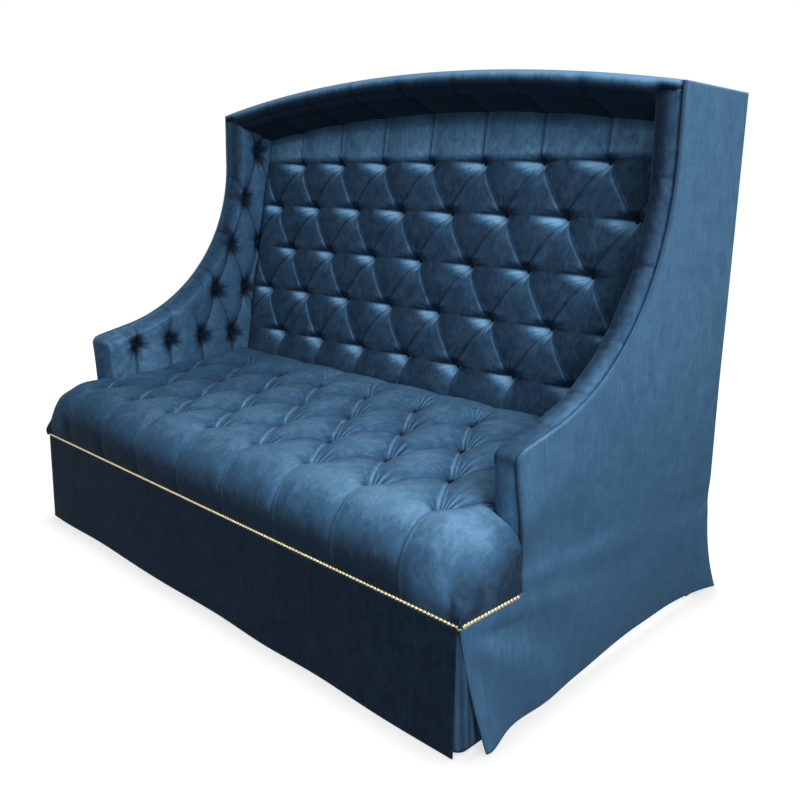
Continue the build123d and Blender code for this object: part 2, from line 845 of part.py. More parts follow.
def make_hood_frame():
    """Arched front and rear rails, the ribs between them, the ceiling and the top cover."""
    top = cover_t + gap
    front_y = lip_core_y + gap
    rail_end = front_y + hood_rail_t
    front_low = lip_core_drop - gap
    parts["hood_front_rail"] = hood_strip(
        [(front_y, top), (rail_end, top), (rail_end, front_low), (front_y, front_low)], panel_in_x - gap)
    rear_end = rear_y - cover_t - gap
    rear_start = rear_end - hood_rail_t
    rear_low = top + hood_rear_rail_h
    parts["hood_rear_rail"] = hood_strip(
        [(rear_start, top), (rear_end, top), (rear_end, rear_low), (rear_start, rear_low)],
        back_post_x - gap)
    fall = ceiling_fall / (ceiling_rear_y - lip_end_y)
    ceiling_top = lip_drop - ceiling_t - 2 * gap
    meet_y = lip_end_y + (rear_low - ceiling_top) / fall
    whole = hood_strip(
        [(rail_end + gap, top), (rear_start - gap, top), (rear_start - gap, rear_low),
         (meet_y, rear_low), (rail_end + gap, ceiling_top - fall * gap)],
        panel_in_x)
    parts["hood_ribs"] = [
        whole & block(x - rib_t / 2, x + rib_t / 2, 0, rear_y, 0, corner_z + arch_rise)
        for x in bars_across(stile_pitch, stile_w)
    ]
    rear_ceiling = ceiling_drop - ceiling_t
    parts["hood_ceiling"] = hood_strip(
        [(lip_end_y + gap, lip_drop), (ceiling_rear_y, ceiling_drop),
         (ceiling_rear_y, rear_ceiling), (lip_end_y + gap, lip_drop - ceiling_t)],
        panel_in_x - gap)
    parts["hood_top_cover"] = hood_strip(
        [(lip_core_y + gap, 0), (rear_y, 0), (rear_y, cover_t), (lip_core_y + gap, cover_t)], flat_x)


def make_stiles():
    """Leaning uprights behind the inside back, from the rear seat rail to the hood."""
    trim_low = cover_t + gap + hood_rear_rail_h + gap
    trim_y = ceiling_rear_y - overrun
    trim = hood_strip(
        [(trim_y, -overrun), (2 * rear_y, -overrun), (2 * rear_y, trim_low), (trim_y, trim_low)], half)
    low_v = 2 * back_low_v
    stiles = []
    for x in bars_across(stile_pitch, stile_w):
        bar = back_sheet(x - stile_w / 2, x + stile_w / 2, low_v, back_high_v, stile_behind, stile_t)
        bar -= block(-half, half, 0, rear_y, 0, foam_z)
        stiles.append(bar - trim)
    return stiles


def back_sheet(x0, x1, v0, v1, behind, thickness):
    """A flat piece on the rear of the inside back."""
    return back_plane * block(x0, x1, v0, v1, -behind - thickness, -behind)


def make_back_suspension():
    """Webbing straps and hessian stretched behind the inside back."""
    under_hood = hood_room(ceiling_t + gap)
    low_v, high_v = back_low_v, back_high_v - webbing_w
    sheet = back_sheet(-seat_half, seat_half, low_v, high_v, sheet_behind, sheet_t)
    parts["back_hessian"] = sheet - under_hood
    straps = []
    for x in bars_across(back_strap_pitch, webbing_w):
        left, right = x - webbing_w / 2, x + webbing_w / 2
        straps.append(back_sheet(left, right, low_v, high_v, straps_behind, webbing_t) - under_hood)
    for row in range(len(back_counts)):
        low, high = row * back_row_pitch - webbing_w / 2, row * back_row_pitch + webbing_w / 2
        straps.append(back_sheet(-seat_half, seat_half, low, high, cross_behind, webbing_t))
    parts["back_webbing"] = straps


def around(solid, clearance):
    """The box round a piece, grown by a clearance."""
    low, high = solid.bounding_box().min, solid.bounding_box().max
    return block(low.X - clearance, high.X + clearance, low.Y - clearance, high.Y + clearance,
                 low.Z - clearance, high.Z + clearance)


def make_seat_rails():
    """Front, rear, side and cross rails of the seat, with the blocks in their corners."""
    front_y0, front_y1 = flap_t + gap, flap_t + gap + rail_t
    rear_y0, rear_y1 = seat_rear_rail_y, seat_rear_rail_y + rail_t
    reach = half - flap_t - gap
    inner_x = side_rail_x - gap
    low, high = rail_low_z, rail_top_z
    parts["front_rail"] = block(-reach, reach, front_y0, front_y1, low, high)
    parts["rear_seat_rail"] = block(-inner_x, inner_x, rear_y0, rear_y1, low, high)
    both_sides("side_rail", block(side_rail_x, side_rail_x + rail_t, front_y1 + gap, post_y - gap, low, high))
    cross_x0, cross_x1 = cross_rail_x - rail_t / 2, cross_rail_x + rail_t / 2
    cross = block(cross_x0, cross_x1, front_y1 + gap, rear_y0 - gap, low, high - webbing_sag)
    parts["cross_rails"] = pair(cross)
    block_z = low + block_inset
    corners = []
    for y, way in ((front_y1 + gap + leg_w + gap, 1), (rear_y0 - gap, -1)):
        corner = polygon([
            (inner_x, y, block_z),
            (inner_x - block_w, y, block_z),
            (inner_x, y + way * block_w, block_z),
        ])
        corners += pair(extrude(corner, amount=rail_h - webbing_sag - 2 * block_inset, dir=(0, 0, 1)))
    parts["corner_blocks"] = corners


def make_legs():
    """Legs, the back posts that are the rear legs, their glides, and the cloth under the frame."""
    front_y = flap_t + gap
    corner_y = front_y + rail_t + gap
    rear_leg_end = seat_rear_rail_y + rail_t
    inner_x = side_rail_x - gap
    high = rail_top_z - webbing_sag
    legs = pair(block(inner_x - leg_w, inner_x, corner_y, corner_y + leg_w, glide_h, high))
    centre = [
        block(-leg_w / 2, leg_w / 2, front_y, front_y + leg_w, glide_h, rail_low_z),
        block(-leg_w / 2, leg_w / 2, rear_leg_end - leg_w, rear_leg_end, glide_h, rail_low_z),
    ]
    posts = pair(block(back_post_x, back_post_x + post_w, post_y, post_end_y, glide_h, corner_z - cover_t))
    parts["front_legs"] = legs
    parts["centre_legs"] = centre
    parts["back_post_right"], parts["back_post_left"] = posts
    disc = extrude(RegularPolygon(glide_r, glide_sides), amount=glide_h)
    feet = [leg.bounding_box().center() for leg in legs + centre + posts]
    parts["glides"] = [Pos(foot.X, foot.Y, 0) * disc for foot in feet]
    dust_x = side_rail_x + rail_t
    dust = block(-dust_x, dust_x, front_y, rear_leg_end, rail_low_z - gap - sheet_t, rail_low_z - gap)
    parts["dust_cover"] = dust - [around(leg, 2 * gap) for leg in legs + centre]


def make_battens():
    """Rails between the back posts, and the battens that the seat cover is tacked to."""
    outer_x = back_post_x - gap
    rear_rails = []
    for z in (rail_low_z, back_button_z + back_row_pitch):
        rear_rails.append(block(-outer_x, outer_x, post_end_y - rail_t, post_end_y, z, z + rail_h))
    parts["rear_outer_rails"] = rear_rails
    high = rail_top_z - flap_t - gap
    parts["front_batten"] = block(-flat_x, flat_x, skirt_t + gap, flap_t, batten_low_z, high)
    side_end = arm_front_y(high, 0) - gap
    both_sides("side_batten", block(half - flap_t, flat_x, flap_t + gap, side_end, batten_low_z, high))


def make_seat_suspension():
    """Webbing straps, hessian and the foam slab between the rails and the tufted pad."""
    front_y = flap_t + gap
    rear_end = seat_rear_rail_y + rail_t
    side_x = panel_in_x - gap
    cross_z = straps_top_z - webbing_t
    along_z = cross_z - gap - webbing_t
    straps = []
    for x in bars_across(seat_strap_pitch, webbing_w):
        left, right = x - webbing_w / 2, x + webbing_w / 2
        straps.append(block(left, right, front_y, rear_end, along_z, along_z + webbing_t))
    for row in range(1, len(seat_counts)):
        y = seat_rows_y + row * seat_row_pitch
        straps.append(block(-side_x, side_x, y - webbing_w / 2, y + webbing_w / 2, cross_z, straps_top_z))
    parts["seat_webbing"] = straps
    hessian_z = straps_top_z + gap
    parts["seat_hessian"] = block(-seat_half, seat_half, front_y, rear_end, hessian_z, hessian_z + sheet_t)
    foam_rear = back_y(foam_z, back_crown) - gap
    slab = block(-seat_half, seat_half, front_y, foam_rear, foam_z, foam_z + foam_t)
    reach = half - flap_t - gap
    ear_end = arm_front_y(foam_z + foam_t, 0) - gap
    slab += block(-reach, reach, front_y, ear_end, foam_z, foam_z + foam_t)
    parts["seat_foam"] = slab


def make_buttons():
    """Covered buttons on the feet of their pits."""
    normal = (0, -math.sin(slope), math.cos(slope))
    places = tuft_places(seat_counts)
    parts["seat_buttons"] = [button(seat_point(a, r), normal, pit_depth - crown_lift) for a, r in places]
    normal = back_plane.z_dir
    depth = back_pit_depth - crown_lift
    parts["back_buttons"] = [
        button(back_point(a * tuft_pitch, r * back_row_pitch, back_crown), normal, depth)
        for a, r in tuft_places(back_counts)
    ]
    depth = wing_pit_depth - crown_lift
    right = [button(wing_point(k, r), (-1, 0, 0), depth) for k, r in wing_places()]
    parts["wing_buttons_right"] = right
    parts["wing_buttons_left"] = [mirror(one, about=Plane.YZ) for one in right]


def make_nails():
    """Rows of nailheads along the seat front and back to each arm."""
    count = int((width - 2 * nail_r) / nail_pitch) + 1
    start = -(count - 1) / 2 * nail_pitch
    parts["nails_front"] = nail_row((start, 0, nail_z), (nail_pitch, 0, 0), count, (0, -1, 0))
    side_count = int((arm_front_y(nail_z, 0) - 2 * nail_r) / nail_pitch) + 1
    side = nail_row((half, nail_r + gap, nail_z), (0, nail_pitch, 0), side_count, (1, 0, 0))
    parts["nails_right"] = side
    parts["nails_left"] = [mirror(one, about=Plane.YZ) for one in side]


def write_parts():
    """Move everything over the middle of its footprint, and write one file per node."""
    everything = []
    for item in parts.values():
        everything += item if isinstance(item, list) else [item]
    box = Compound(children=[Compound(one.solids()) for one in everything]).bounding_box()
    shift = Pos(0, -(box.min.Y + box.max.Y) / 2, 0)
    for name, item in parts.items():
        solids = []
        for one in item if isinstance(item, list) else [item]:
            solids += one.solids()
        group = Compound(solids) if len(solids) > 1 else solids[0]
        export_step(shift * group, f"parts/{name}.step")
    print("moved by", round(shift.position.Y, 3), "from", box)


parts["seat_pad"] = make_seat_pad()
hood = hood_room(gap)
parts["back_pad"] = make_back_pad(hood)
both_sides("wing_pad", make_wing_pad(hood))
parts["hood_lip"] = make_lip()
make_hood_frame()
parts["back_stiles"] = make_stiles()
make_back_suspension()
make_seat_rails()
make_legs()
make_battens()
make_seat_suspension()
both_sides("side_panel", make_panel())
both_sides("arm_batten", make_arm_batten(hood))
both_sides("side_cover", make_side_cover())
parts["back_cover"] = make_back_cover()
parts["front_skirt"] = make_front_skirt()
both_sides("front_insert", make_insert(skirt_t + 2 * gap, skirt_t + front_fold_depth + 2 * gap, 1))
rear_insert_y = rear_y - cover_t - 2 * gap
both_sides("rear_insert", make_insert(rear_insert_y, rear_insert_y + insert_rear_flare, -1))
make_buttons()
make_nails()
write_parts()
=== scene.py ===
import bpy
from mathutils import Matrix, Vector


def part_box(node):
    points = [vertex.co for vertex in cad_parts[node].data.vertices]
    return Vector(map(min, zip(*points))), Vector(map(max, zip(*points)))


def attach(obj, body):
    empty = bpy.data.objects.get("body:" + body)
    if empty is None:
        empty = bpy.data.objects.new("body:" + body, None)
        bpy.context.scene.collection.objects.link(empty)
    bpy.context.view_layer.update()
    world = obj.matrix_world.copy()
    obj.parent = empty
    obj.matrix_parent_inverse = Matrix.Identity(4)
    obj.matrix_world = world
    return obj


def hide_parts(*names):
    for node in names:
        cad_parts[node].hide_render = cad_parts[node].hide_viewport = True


bl_info = {
    "name": "Hooded settee covers",
    "version": (1, 0, 0),
    "blender": (4, 5, 0),
    "location": "3D View > Sidebar > Settee",
    "description": "Dresses the frame of a high-backed settee in tufted velvet",
    "category": "Object",
}

import math
from contextlib import contextmanager

import bmesh
import bpy
import numpy as np
from bpy.props import FloatProperty, FloatVectorProperty, IntProperty, PointerProperty
from mathutils import Matrix, Vector

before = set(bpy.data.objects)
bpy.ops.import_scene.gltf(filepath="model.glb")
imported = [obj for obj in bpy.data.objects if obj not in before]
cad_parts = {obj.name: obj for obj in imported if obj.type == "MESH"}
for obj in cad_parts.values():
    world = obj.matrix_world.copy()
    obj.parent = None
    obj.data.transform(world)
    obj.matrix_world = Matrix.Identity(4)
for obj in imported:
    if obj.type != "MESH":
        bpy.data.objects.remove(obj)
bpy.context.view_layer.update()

MM = 0.001
GAP = 0.3
OPENING_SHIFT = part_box("nails_front")[1].y

# Outline of the settee in millimetres, Y counted from the nail line to the rear
HALF = 915.0
NAIL_Z = 297.0
TACK_Z = 297.8
ARM_TOP_Y = 170.0
ARM_TOP_Z = 617.0
ARM_LEAN = 35.0 / 320.0
WING_Y = 757.0
REAR_Y = 1112.0
CORNER_Z = 1403.0
SWEEP_R = 595.0
SWEEP_ANGLE = math.radians(76.7)
SWEEP_Y = WING_Y - SWEEP_R
SWEEP_Z = ARM_TOP_Z + (SWEEP_R - (ARM_TOP_Y - SWEEP_Y) * math.cos(SWEEP_ANGLE)) / math.sin(SWEEP_ANGLE)
ARCH_RISE = 79.0
ARCH_R = (HALF ** 2 + ARCH_RISE ** 2) / (2 * ARCH_RISE)
ARCH_Z = CORNER_Z + ARCH_RISE - ARCH_R
COVER_T = 5.0
FLAT_X = HALF - COVER_T - GAP
CROWN_X = 832.0
SEAT_HALF = 831.4

# Seat
SLOPE = math.radians(4.0)
ROW_Y = 120.4
ROW_STEP = 172.6
FRONT_CROWN_Z = 486.0
SEAT_BULGE = 10.0
SEAT_ROLL_R = 118.0
EAR_FALL_R = 98.0
SEAT_EDGE_R = 35.0
EAR_Y = 205.0
SEAT_UNDER_Z = 401.0
FLAP = 20.0
FLAP_TOP_Z = 310.0
PAD_CORE_Z = 450.0

# Back
RAKE = math.radians(9.4)
BACK_Y = 832.7
BACK_Z = 603.0
BACK_STEP = 156.5
BACK_CROWN = 50.0
BACK_BEHIND = 30.0
BACK_LOW = -212.2 / math.cos(RAKE)

# Wings
WING_Y0 = 305.2
WING_Z0 = 582.9
WING_PITCH = 138.2
WING_STEP = 171.7
ROLL_T = 25.0
ROLL_SHARES = [(0, 1.0), (0.05, 0.68), (0.15, 0.36), (0.3, 0.13), (0.5, 0), (0.82, 0.02), (1, 0.14)]
WING_LOW_Z = 345.0
TIP_R = 26.0
WING_ROWS = ((0, 3), (2, 3), (2, 3), (2, 3), (2, 2))
WING_PIT_LIMIT = 0.0275

# Hood, its drops counted from the arch
LIP_BULGE = 10.0
LIP_DROP = 62.0
LIP_END_Y = 804.6
LIP_CORE_Y = 787.0
LIP_CORE_DROP = 31.0
CEILING_DROP = 112.0
CEILING_END_Y = 935.0

# Skirt: its hem, the line where it starts to flare, how far the hem stands out at the rear and is drawn up at
# the sides, and how far the side cloth's front edge runs back to open the pleat
HEM_Z = 3.0
SKIRT_Z = 296.0
REAR_FLARE = 58.0
HEM_LIFT = 18.0
PLEAT_OPEN = 58.0
TACK_Y = 4.0

# Cloth behind the open corner pleats, bent round the corner
INSERT_LOW_Z = 12.0
INSERT_HIGH_Z = 286.0
INSERT_LENGTH = 190.0
INSERT_BEND = 22.0
INSERT_STRAIGHT = 68.0
INSERT_T = 3.0
INSERTS = (("front", 1, 5.0, 3.0, "side_batten_"), ("rear", -1, REAR_Y - 6, 28.0, "side_panel_"))

# Nailheads
NAIL_PITCH = 11.09
NAIL_START = 5.7
NAILS_FRONT = 165
NAILS_SIDE = 18

# Span of a sheet as cut over its span in place, for turnings
TURNINGS = 1.03
SIDES = (("right", 1), ("left", -1))


def linear(code):
    """Linear colour of an sRGB hex code."""
    values = [int(code[i:i + 2], 16) / 255 for i in (1, 3, 5)]
    return [v / 12.92 if v <= 0.04045 else ((v + 0.055) / 1.055) ** 2.4 for v in values]


def colour_property(name, description, code):
    """A colour that the user can change, given as an sRGB hex code."""
    return FloatVectorProperty(name=name, description=description, default=linear(code),
                               size=3, min=0, max=1, subtype="COLOR")


def length_property(name, description, metres):
    """A length that the user can change."""
    return FloatProperty(name=name, description=description, default=metres, unit="LENGTH")


class TuftingSizes(bpy.types.PropertyGroup):
    """Sizes of the tufting and the folds."""
    tuft_pitch: length_property("Tuft pitch", "Between two buttons of a row", 0.2133)
    pleat_depth: length_property("Pleat depth", "Valley between two diamonds", 0.011)
    seat_pleat_depth: length_property("Seat pleat depth", "Valley between two seat diamonds", 0.030)
    channel_depth: length_property("Channel depth", "Valley between two channels", 0.013)
    button_radius: length_property("Button radius", "Covered button", 0.0105)
    tuck_height: length_property("Tuck height", "Step where one fold laps the next", 0.0045)
    nail_radius: length_property("Nailhead radius", "Domed nailhead", 0.0054)
    cell: length_property("Cell", "Mesh cell of the padded pieces", 0.0034)
    rise_frames: IntProperty(name="Rise frames", description="Frames of the cloth simulation", default=20)


class FinishColours(bpy.types.PropertyGroup):
    """Colours of the finishes."""
    # The pile colours are one velvet in steps of painted light, from deep shade to highlight.
    pile_deepest_shade: colour_property("Pile, deep", "Velvet on a face that turns down", "#0A1826")
    pile_shaded: colour_property("Pile, dark", "Velvet on an upright face", "#1C2D41")
    pile: colour_property("Pile", "Velvet on a leaning face", "#2D465F")
    pile_half_lit: colour_property("Pile, raised", "Velvet on a slope", "#406789")
    pile_lit: colour_property("Pile, light", "Velvet on a level face", "#74A2C8")
    sheen: colour_property("Sheen", "Tips of the pile at a glance", "#9CC2DE")
    brass: colour_property("Brass", "Nailheads", "#D2C399")
    beech: colour_property("Beech", "Frame timber", "#C8A27A")
    ply: colour_property("Ply", "Sawn panels", "#CDAF84")
    hessian: colour_property("Hessian", "Jute cloth", "#A88F66")
    webbing: colour_property("Webbing", "Jute straps", "#8C7350")
    foam: colour_property("Foam", "Seat filling", "#D9CDA6")
    cambric: colour_property("Cambric", "Dust cover", "#26272A")
    nylon: colour_property("Nylon", "Glides", "#3A3A3C")


def sizes():
    """Tufting sizes of the scene."""
    return bpy.context.scene.settee_sizes


def placed(x, y, z):
    """Points in metres in the frame's own axes, from millimetres behind the nail line."""
    return np.stack([x * MM, y * MM + OPENING_SHIFT, z * MM], axis=-1)


def smooth(value, low, high):
    """Zero below one value, one above the other, and a soft step between."""
    t = np.clip((value - low) / (high - low), 0, 1)
    return t * t * (3 - 2 * t)


def bell(distance, width):
    """One at zero, falling to 1/e at a width on either side."""
    return np.exp(-(distance / width) ** 2)


def path_points(*runs):
    """One path from runs of points, as points and length along it."""
    points = np.concatenate(runs)
    steps = np.hypot(*(points[1:] - points[:-1]).T)
    keep = np.concatenate([[True], steps > 1e-6])
    points = points[keep]
    length = np.concatenate([[0], np.cumsum(steps[steps > 1e-6])])
    return points, length


def along(path, distance):
    """Both coordinates at a distance along a path."""
    points, length = path
    return np.interp(distance, length, points[:, 0]), np.interp(distance, length, points[:, 1])


def arc(centre, radius, start, end, count=48):
    """Points on an arc between two angles."""
    angle = np.linspace(start, end, count)
    return np.stack([centre[0] + radius * np.cos(angle), centre[1] + radius * np.sin(angle)], axis=-1)


def crown_at(y):
    """Height of the seat's crown."""
    return FRONT_CROWN_Z + (y - ROW_Y) * math.tan(SLOPE)


def back_y(z, w):
    """Y of the leaning back at a height, at a distance in front of the button plane."""
    return BACK_Y + (z - BACK_Z) * math.tan(RAKE) - w / math.cos(RAKE)


def arch_top(x, drop):
    """Height of the hood's arch, less a drop."""
    return ARCH_Z + np.sqrt((ARCH_R - drop) ** 2 - x ** 2)


def arm_front_y(z):
    """Y of the arm's front edge at a height."""
    return ARM_TOP_Y + (ARM_TOP_Z - z) * ARM_LEAN


def tip_arc():
    """Rounded tip between the arm's front and the sweep: its centre, its ends and its turn."""
    tip = np.array([ARM_TOP_Y, ARM_TOP_Z])
    up = np.array([-ARM_LEAN, 1]) / math.hypot(ARM_LEAN, 1)
    rear = np.array([math.sin(SWEEP_ANGLE), math.cos(SWEEP_ANGLE)])
    turn = math.acos(up @ rear)
    cut = TIP_R * math.tan(turn / 2)
    return tip - cut * up + TIP_R * np.array([up[1], -up[0]]), tip - cut * up, tip + cut * rear, turn


def wing_edge_y(z):
    """Y of the wing's front edge at a height: arm front, rounded tip, sweep or upright."""
    sweep = SWEEP_Y + np.sqrt(np.maximum(SWEEP_R ** 2 - (SWEEP_Z - z) ** 2, 0))
    arm_top = ARM_TOP_Y + (z - ARM_TOP_Z) * math.tan(SWEEP_ANGLE)
    sweep = np.where(z > SWEEP_Z - SWEEP_R * math.sin(SWEEP_ANGLE), sweep, arm_top)
    edge = np.where(z >= SWEEP_Z, WING_Y, np.where(z > ARM_TOP_Z, sweep, arm_front_y(z)))
    centre, low, high, _ = tip_arc()
    tip = centre[0] - np.sqrt(np.maximum(TIP_R ** 2 - (z - centre[1]) ** 2, 0))
    return np.where((z > low[1]) & (z < high[1]), tip, edge)


def nose_path(radius, top_z, to_rear):
    """Tacked edge, belly and round nose of the seat, as distance inwards and height."""
    low = NAIL_Z + 6.0
    nose_z = top_z - radius * math.cos(to_rear)
    drop = nose_z - low
    belly_r = (SEAT_BULGE ** 2 + drop ** 2) / (2 * SEAT_BULGE)
    reach = math.asin(drop / belly_r)
    belly = arc((belly_r - SEAT_BULGE, nose_z), belly_r, math.pi + reach, math.pi)
    nose = arc((radius - SEAT_BULGE, nose_z), radius, math.pi, math.pi / 2 + to_rear)
    return [np.array([[0, TACK_Z], [0, low]]), belly, nose]


@contextmanager
def opened(mesh):
    """A mesh opened for operators, and written back after them."""
    bm = bmesh.new()
    bm.from_mesh(mesh)
    yield bm
    bm.to_mesh(mesh)
    bm.free()


def grid_mesh(name, columns, rows, shape):
    """A grid from one operator, with its points moved by a formula of both its ways, each from 0 to 1."""
    mesh = bpy.data.meshes.new(name)
    with opened(mesh) as bm:
        bmesh.ops.create_grid(bm, x_segments=columns, y_segments=rows, size=0.5)
    flat = np.zeros(len(mesh.vertices) * 3, np.float32)
    mesh.vertices.foreach_get("co", flat)
    u, v = flat.reshape(-1, 3)[:, 0] + 0.5, flat.reshape(-1, 3)[:, 1] + 0.5
    points = shape(np.clip(u, 0, 1).astype(float), np.clip(v, 0, 1).astype(float))
    mesh.vertices.foreach_set("co", points.astype(np.float32).ravel())
    mesh.update()
    return mesh


def show(mesh, material):
    """Put a mesh in the scene as a piece of the settee, smooth and in one finish."""
    piece = bpy.data.objects.new(mesh.name, mesh)
    bpy.context.scene.collection.objects.link(piece)
    mesh.polygons.foreach_set("use_smooth", [True] * len(mesh.polygons))
    mesh.materials.append(bpy.data.materials[material])
    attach(piece, "root")
    return piece


def move_points(items, move):
    """Move the points among a mesh's new parts."""
    for item in items:
        if isinstance(item, bmesh.types.BMVert):
            item.co = move(item.co)


def close_behind(mesh, *moves):
    """Turn a padded face into a closed form: its border is drawn back in steps and filled."""
    with opened(mesh) as bm:
        border = [edge for edge in bm.edges if edge.is_boundary]
        for move in moves:
            made = bmesh.ops.extrude_edge_only(bm, edges=border)["geom"]
            move_points(made, move)
            border = [item for item in made if isinstance(item, bmesh.types.BMEdge) and item.is_boundary]
        bmesh.ops.contextual_create(bm, geom=border)
        bmesh.ops.recalc_face_normals(bm, faces=bm.faces)


def paint_light_shade(mesh, light_shade):
    """Keep the light and shade painted at each point: above zero the velvet is painted lighter, below zero darker."""
    mesh.attributes.new("brushed", "FLOAT", "POINT").data.foreach_set("value", light_shade.astype(np.float32))


def back_with_layer(mesh, move):
    """Turn a padded face into a closed layer: a copy of it, drawn back, becomes its hidden side."""
    with opened(mesh) as bm:
        move_points(bmesh.ops.extrude_face_region(bm, geom=bm.faces[:])["geom"], move)
        bmesh.ops.recalc_face_normals(bm, faces=bm.faces)


def surface_normals(points, shape):
    """Outward normals of a grid's points, from differences along both ways."""
    step = 1e-4
    u, v = points
    base_u = shape(np.clip(u + step, 0, 1), v) - shape(np.clip(u - step, 0, 1), v)
    base_v = shape(u, np.clip(v + step, 0, 1)) - shape(u, np.clip(v - step, 0, 1))
    normal = np.cross(base_u, base_v)
    return normal / np.maximum(np.linalg.norm(normal, axis=1, keepdims=True), 1e-12)


def pushed(shape, depth, side, sewn):
    """A formula for a padded face: a plain shape, pressed in along its normals. How deep, and the light and
    shade painted there, is kept aside."""
    def moved(u, v):
        points = shape(u, v)
        sewn["depth"], sewn["tone"] = depth(u, v, points)
        return points - side * surface_normals((u, v), shape) * sewn["depth"][:, None]
    return moved


def to_line(value):
    """Signed distance to the nearest whole number."""
    return value - np.round(value)


def pillow(distance, power):
    """Rise of a pillow from its pleat, zero, to its crown, one."""
    return 1 - (1 - 2 * np.minimum(np.abs(distance), 0.5)) ** power


def tuck(distance, width, height):
    """Step where one side of a pleat laps the other, as a change of depth."""
    return -height * np.sign(distance) * np.exp(-np.abs(distance) / width)


def fans(x, y, reach, spokes, turn):
    """Fine folds that run out from a button, from -1 to 1."""
    r = np.hypot(x, y)
    angle = np.arctan2(y, x)
    rise = np.clip(r / (0.35 * reach), 0, 1) * bell(r, reach)
    return rise * np.cos(spokes * angle + turn + 2.0 * np.sin(3 * angle + turn))


def diamonds(p, q, cell_width, pleat_depth, tuck_height, power=3.0):
    """Depth of the diamonds between pleats that run along both ways of the lattice."""
    dp, dq = to_line(p), to_line(q)
    crown = pillow(dp, power) * pillow(dq, power)
    to_button = np.hypot(dp, dq)
    slack = 0.6 + 0.4 * bell(to_button, 0.3)
    depth = pleat_depth * slack * (1 - crown)
    for distance, other, lap in ((dp, dq, 1.0), (dq, dp, -0.6)):
        gather = 0.45 + 0.55 * bell(other, 0.25)
        depth += tuck(distance * cell_width, 9 * MM, tuck_height * lap * gather * 0.5)
        depth += 0.6 * tuck_height * gather * np.exp(-np.abs(distance) * cell_width / (7 * MM))
    return depth


def channels(a, width, depth, tuck_height, power=2.2):
    """Depth of straight channels with a pleat at each whole number."""
    distance = to_line(a)
    made = depth * (1 - pillow(distance, power))
    made += 0.5 * tuck(distance * width, 7 * MM, tuck_height)
    return made + 0.3 * tuck_height * bell(distance * width, 5 * MM)


def nearest_button(a, row, last_row, even, step):
    """Nearest button in rows of eight and seven in turn: its row, its place there and the way to it in metres.
    The even rows are moved aside by a share of the pitch."""
    near_row = np.clip(np.round(row), 0, last_row)
    aside = np.where(near_row % 2 == 0, even, 0.5 - even)
    near_a = np.clip(np.round(a - aside) + aside, -3 - aside, 3 + aside)
    return near_row, near_a, (a - near_a) * sizes().tuft_pitch, (row - near_row) * step * MM


def seat_paths():
    """Side section of the seat, and its section across an ear."""
    top = crown_at(SEAT_ROLL_R - SEAT_BULGE - SEAT_ROLL_R * math.sin(SLOPE))
    rear_top = back_y(crown_at(BACK_Y - BACK_CROWN), BACK_CROWN) - GAP
    turn_z = crown_at(rear_top) - SEAT_EDGE_R
    turn_y = back_y(turn_z, BACK_CROWN) - GAP
    end_y = turn_y - SEAT_EDGE_R
    crown = np.array([[end_y, crown_at(end_y)]])
    rear = arc((end_y, turn_z), SEAT_EDGE_R, math.pi / 2, 0)
    low = np.array([[back_y(turn_z - 50, BACK_CROWN) - GAP, turn_z - 50]])
    side = path_points(*nose_path(SEAT_ROLL_R, top, SLOPE), crown, rear, low)
    ear_top = crown_at(EAR_Y)
    ear = nose_path(EAR_FALL_R, ear_top, 0)
    across = np.concatenate([[[HALF, ear_top]], np.concatenate(ear)[::-1]])
    across[:, 0] = HALF - across[:, 0]
    across[:, 1] = (across[:, 1] - TACK_Z) / (ear_top - TACK_Z)
    scaled = across * np.array([1, ear_top - TACK_Z])
    points, length = path_points(scaled)
    return side, (points / np.array([1, ear_top - TACK_Z]), length)


def seat_shape(side, ear):
    """Plain form of the seat's upper face, with an ear in front of each arm."""
    def shape(u, v):
        signed = (2 * u - 1) * ear[1][-1]
        x, share = along(ear, np.abs(signed))
        y, z = along(side, v * side[1][-1])
        share = share * (1 - 0.075 * np.sin(math.pi * np.clip((x - HALF + 92) / 96, 0, 1)))
        z = TACK_Z + (z - TACK_Z) * share
        fall = TACK_Z + (crown_at(EAR_Y) - TACK_Z) * share
        stretch = np.where(y > 0, arm_front_y(fall) / arm_front_y(crown_at(EAR_Y)), 1)
        corner = smooth(x, HALF - 60, HALF) * (1 - smooth(y, -10, 50))
        corner *= smooth(z, NAIL_Z + 10, NAIL_Z + 60)
        return placed(np.sign(signed) * (x - 14 * corner), y * stretch + 12 * corner, z)
    return shape


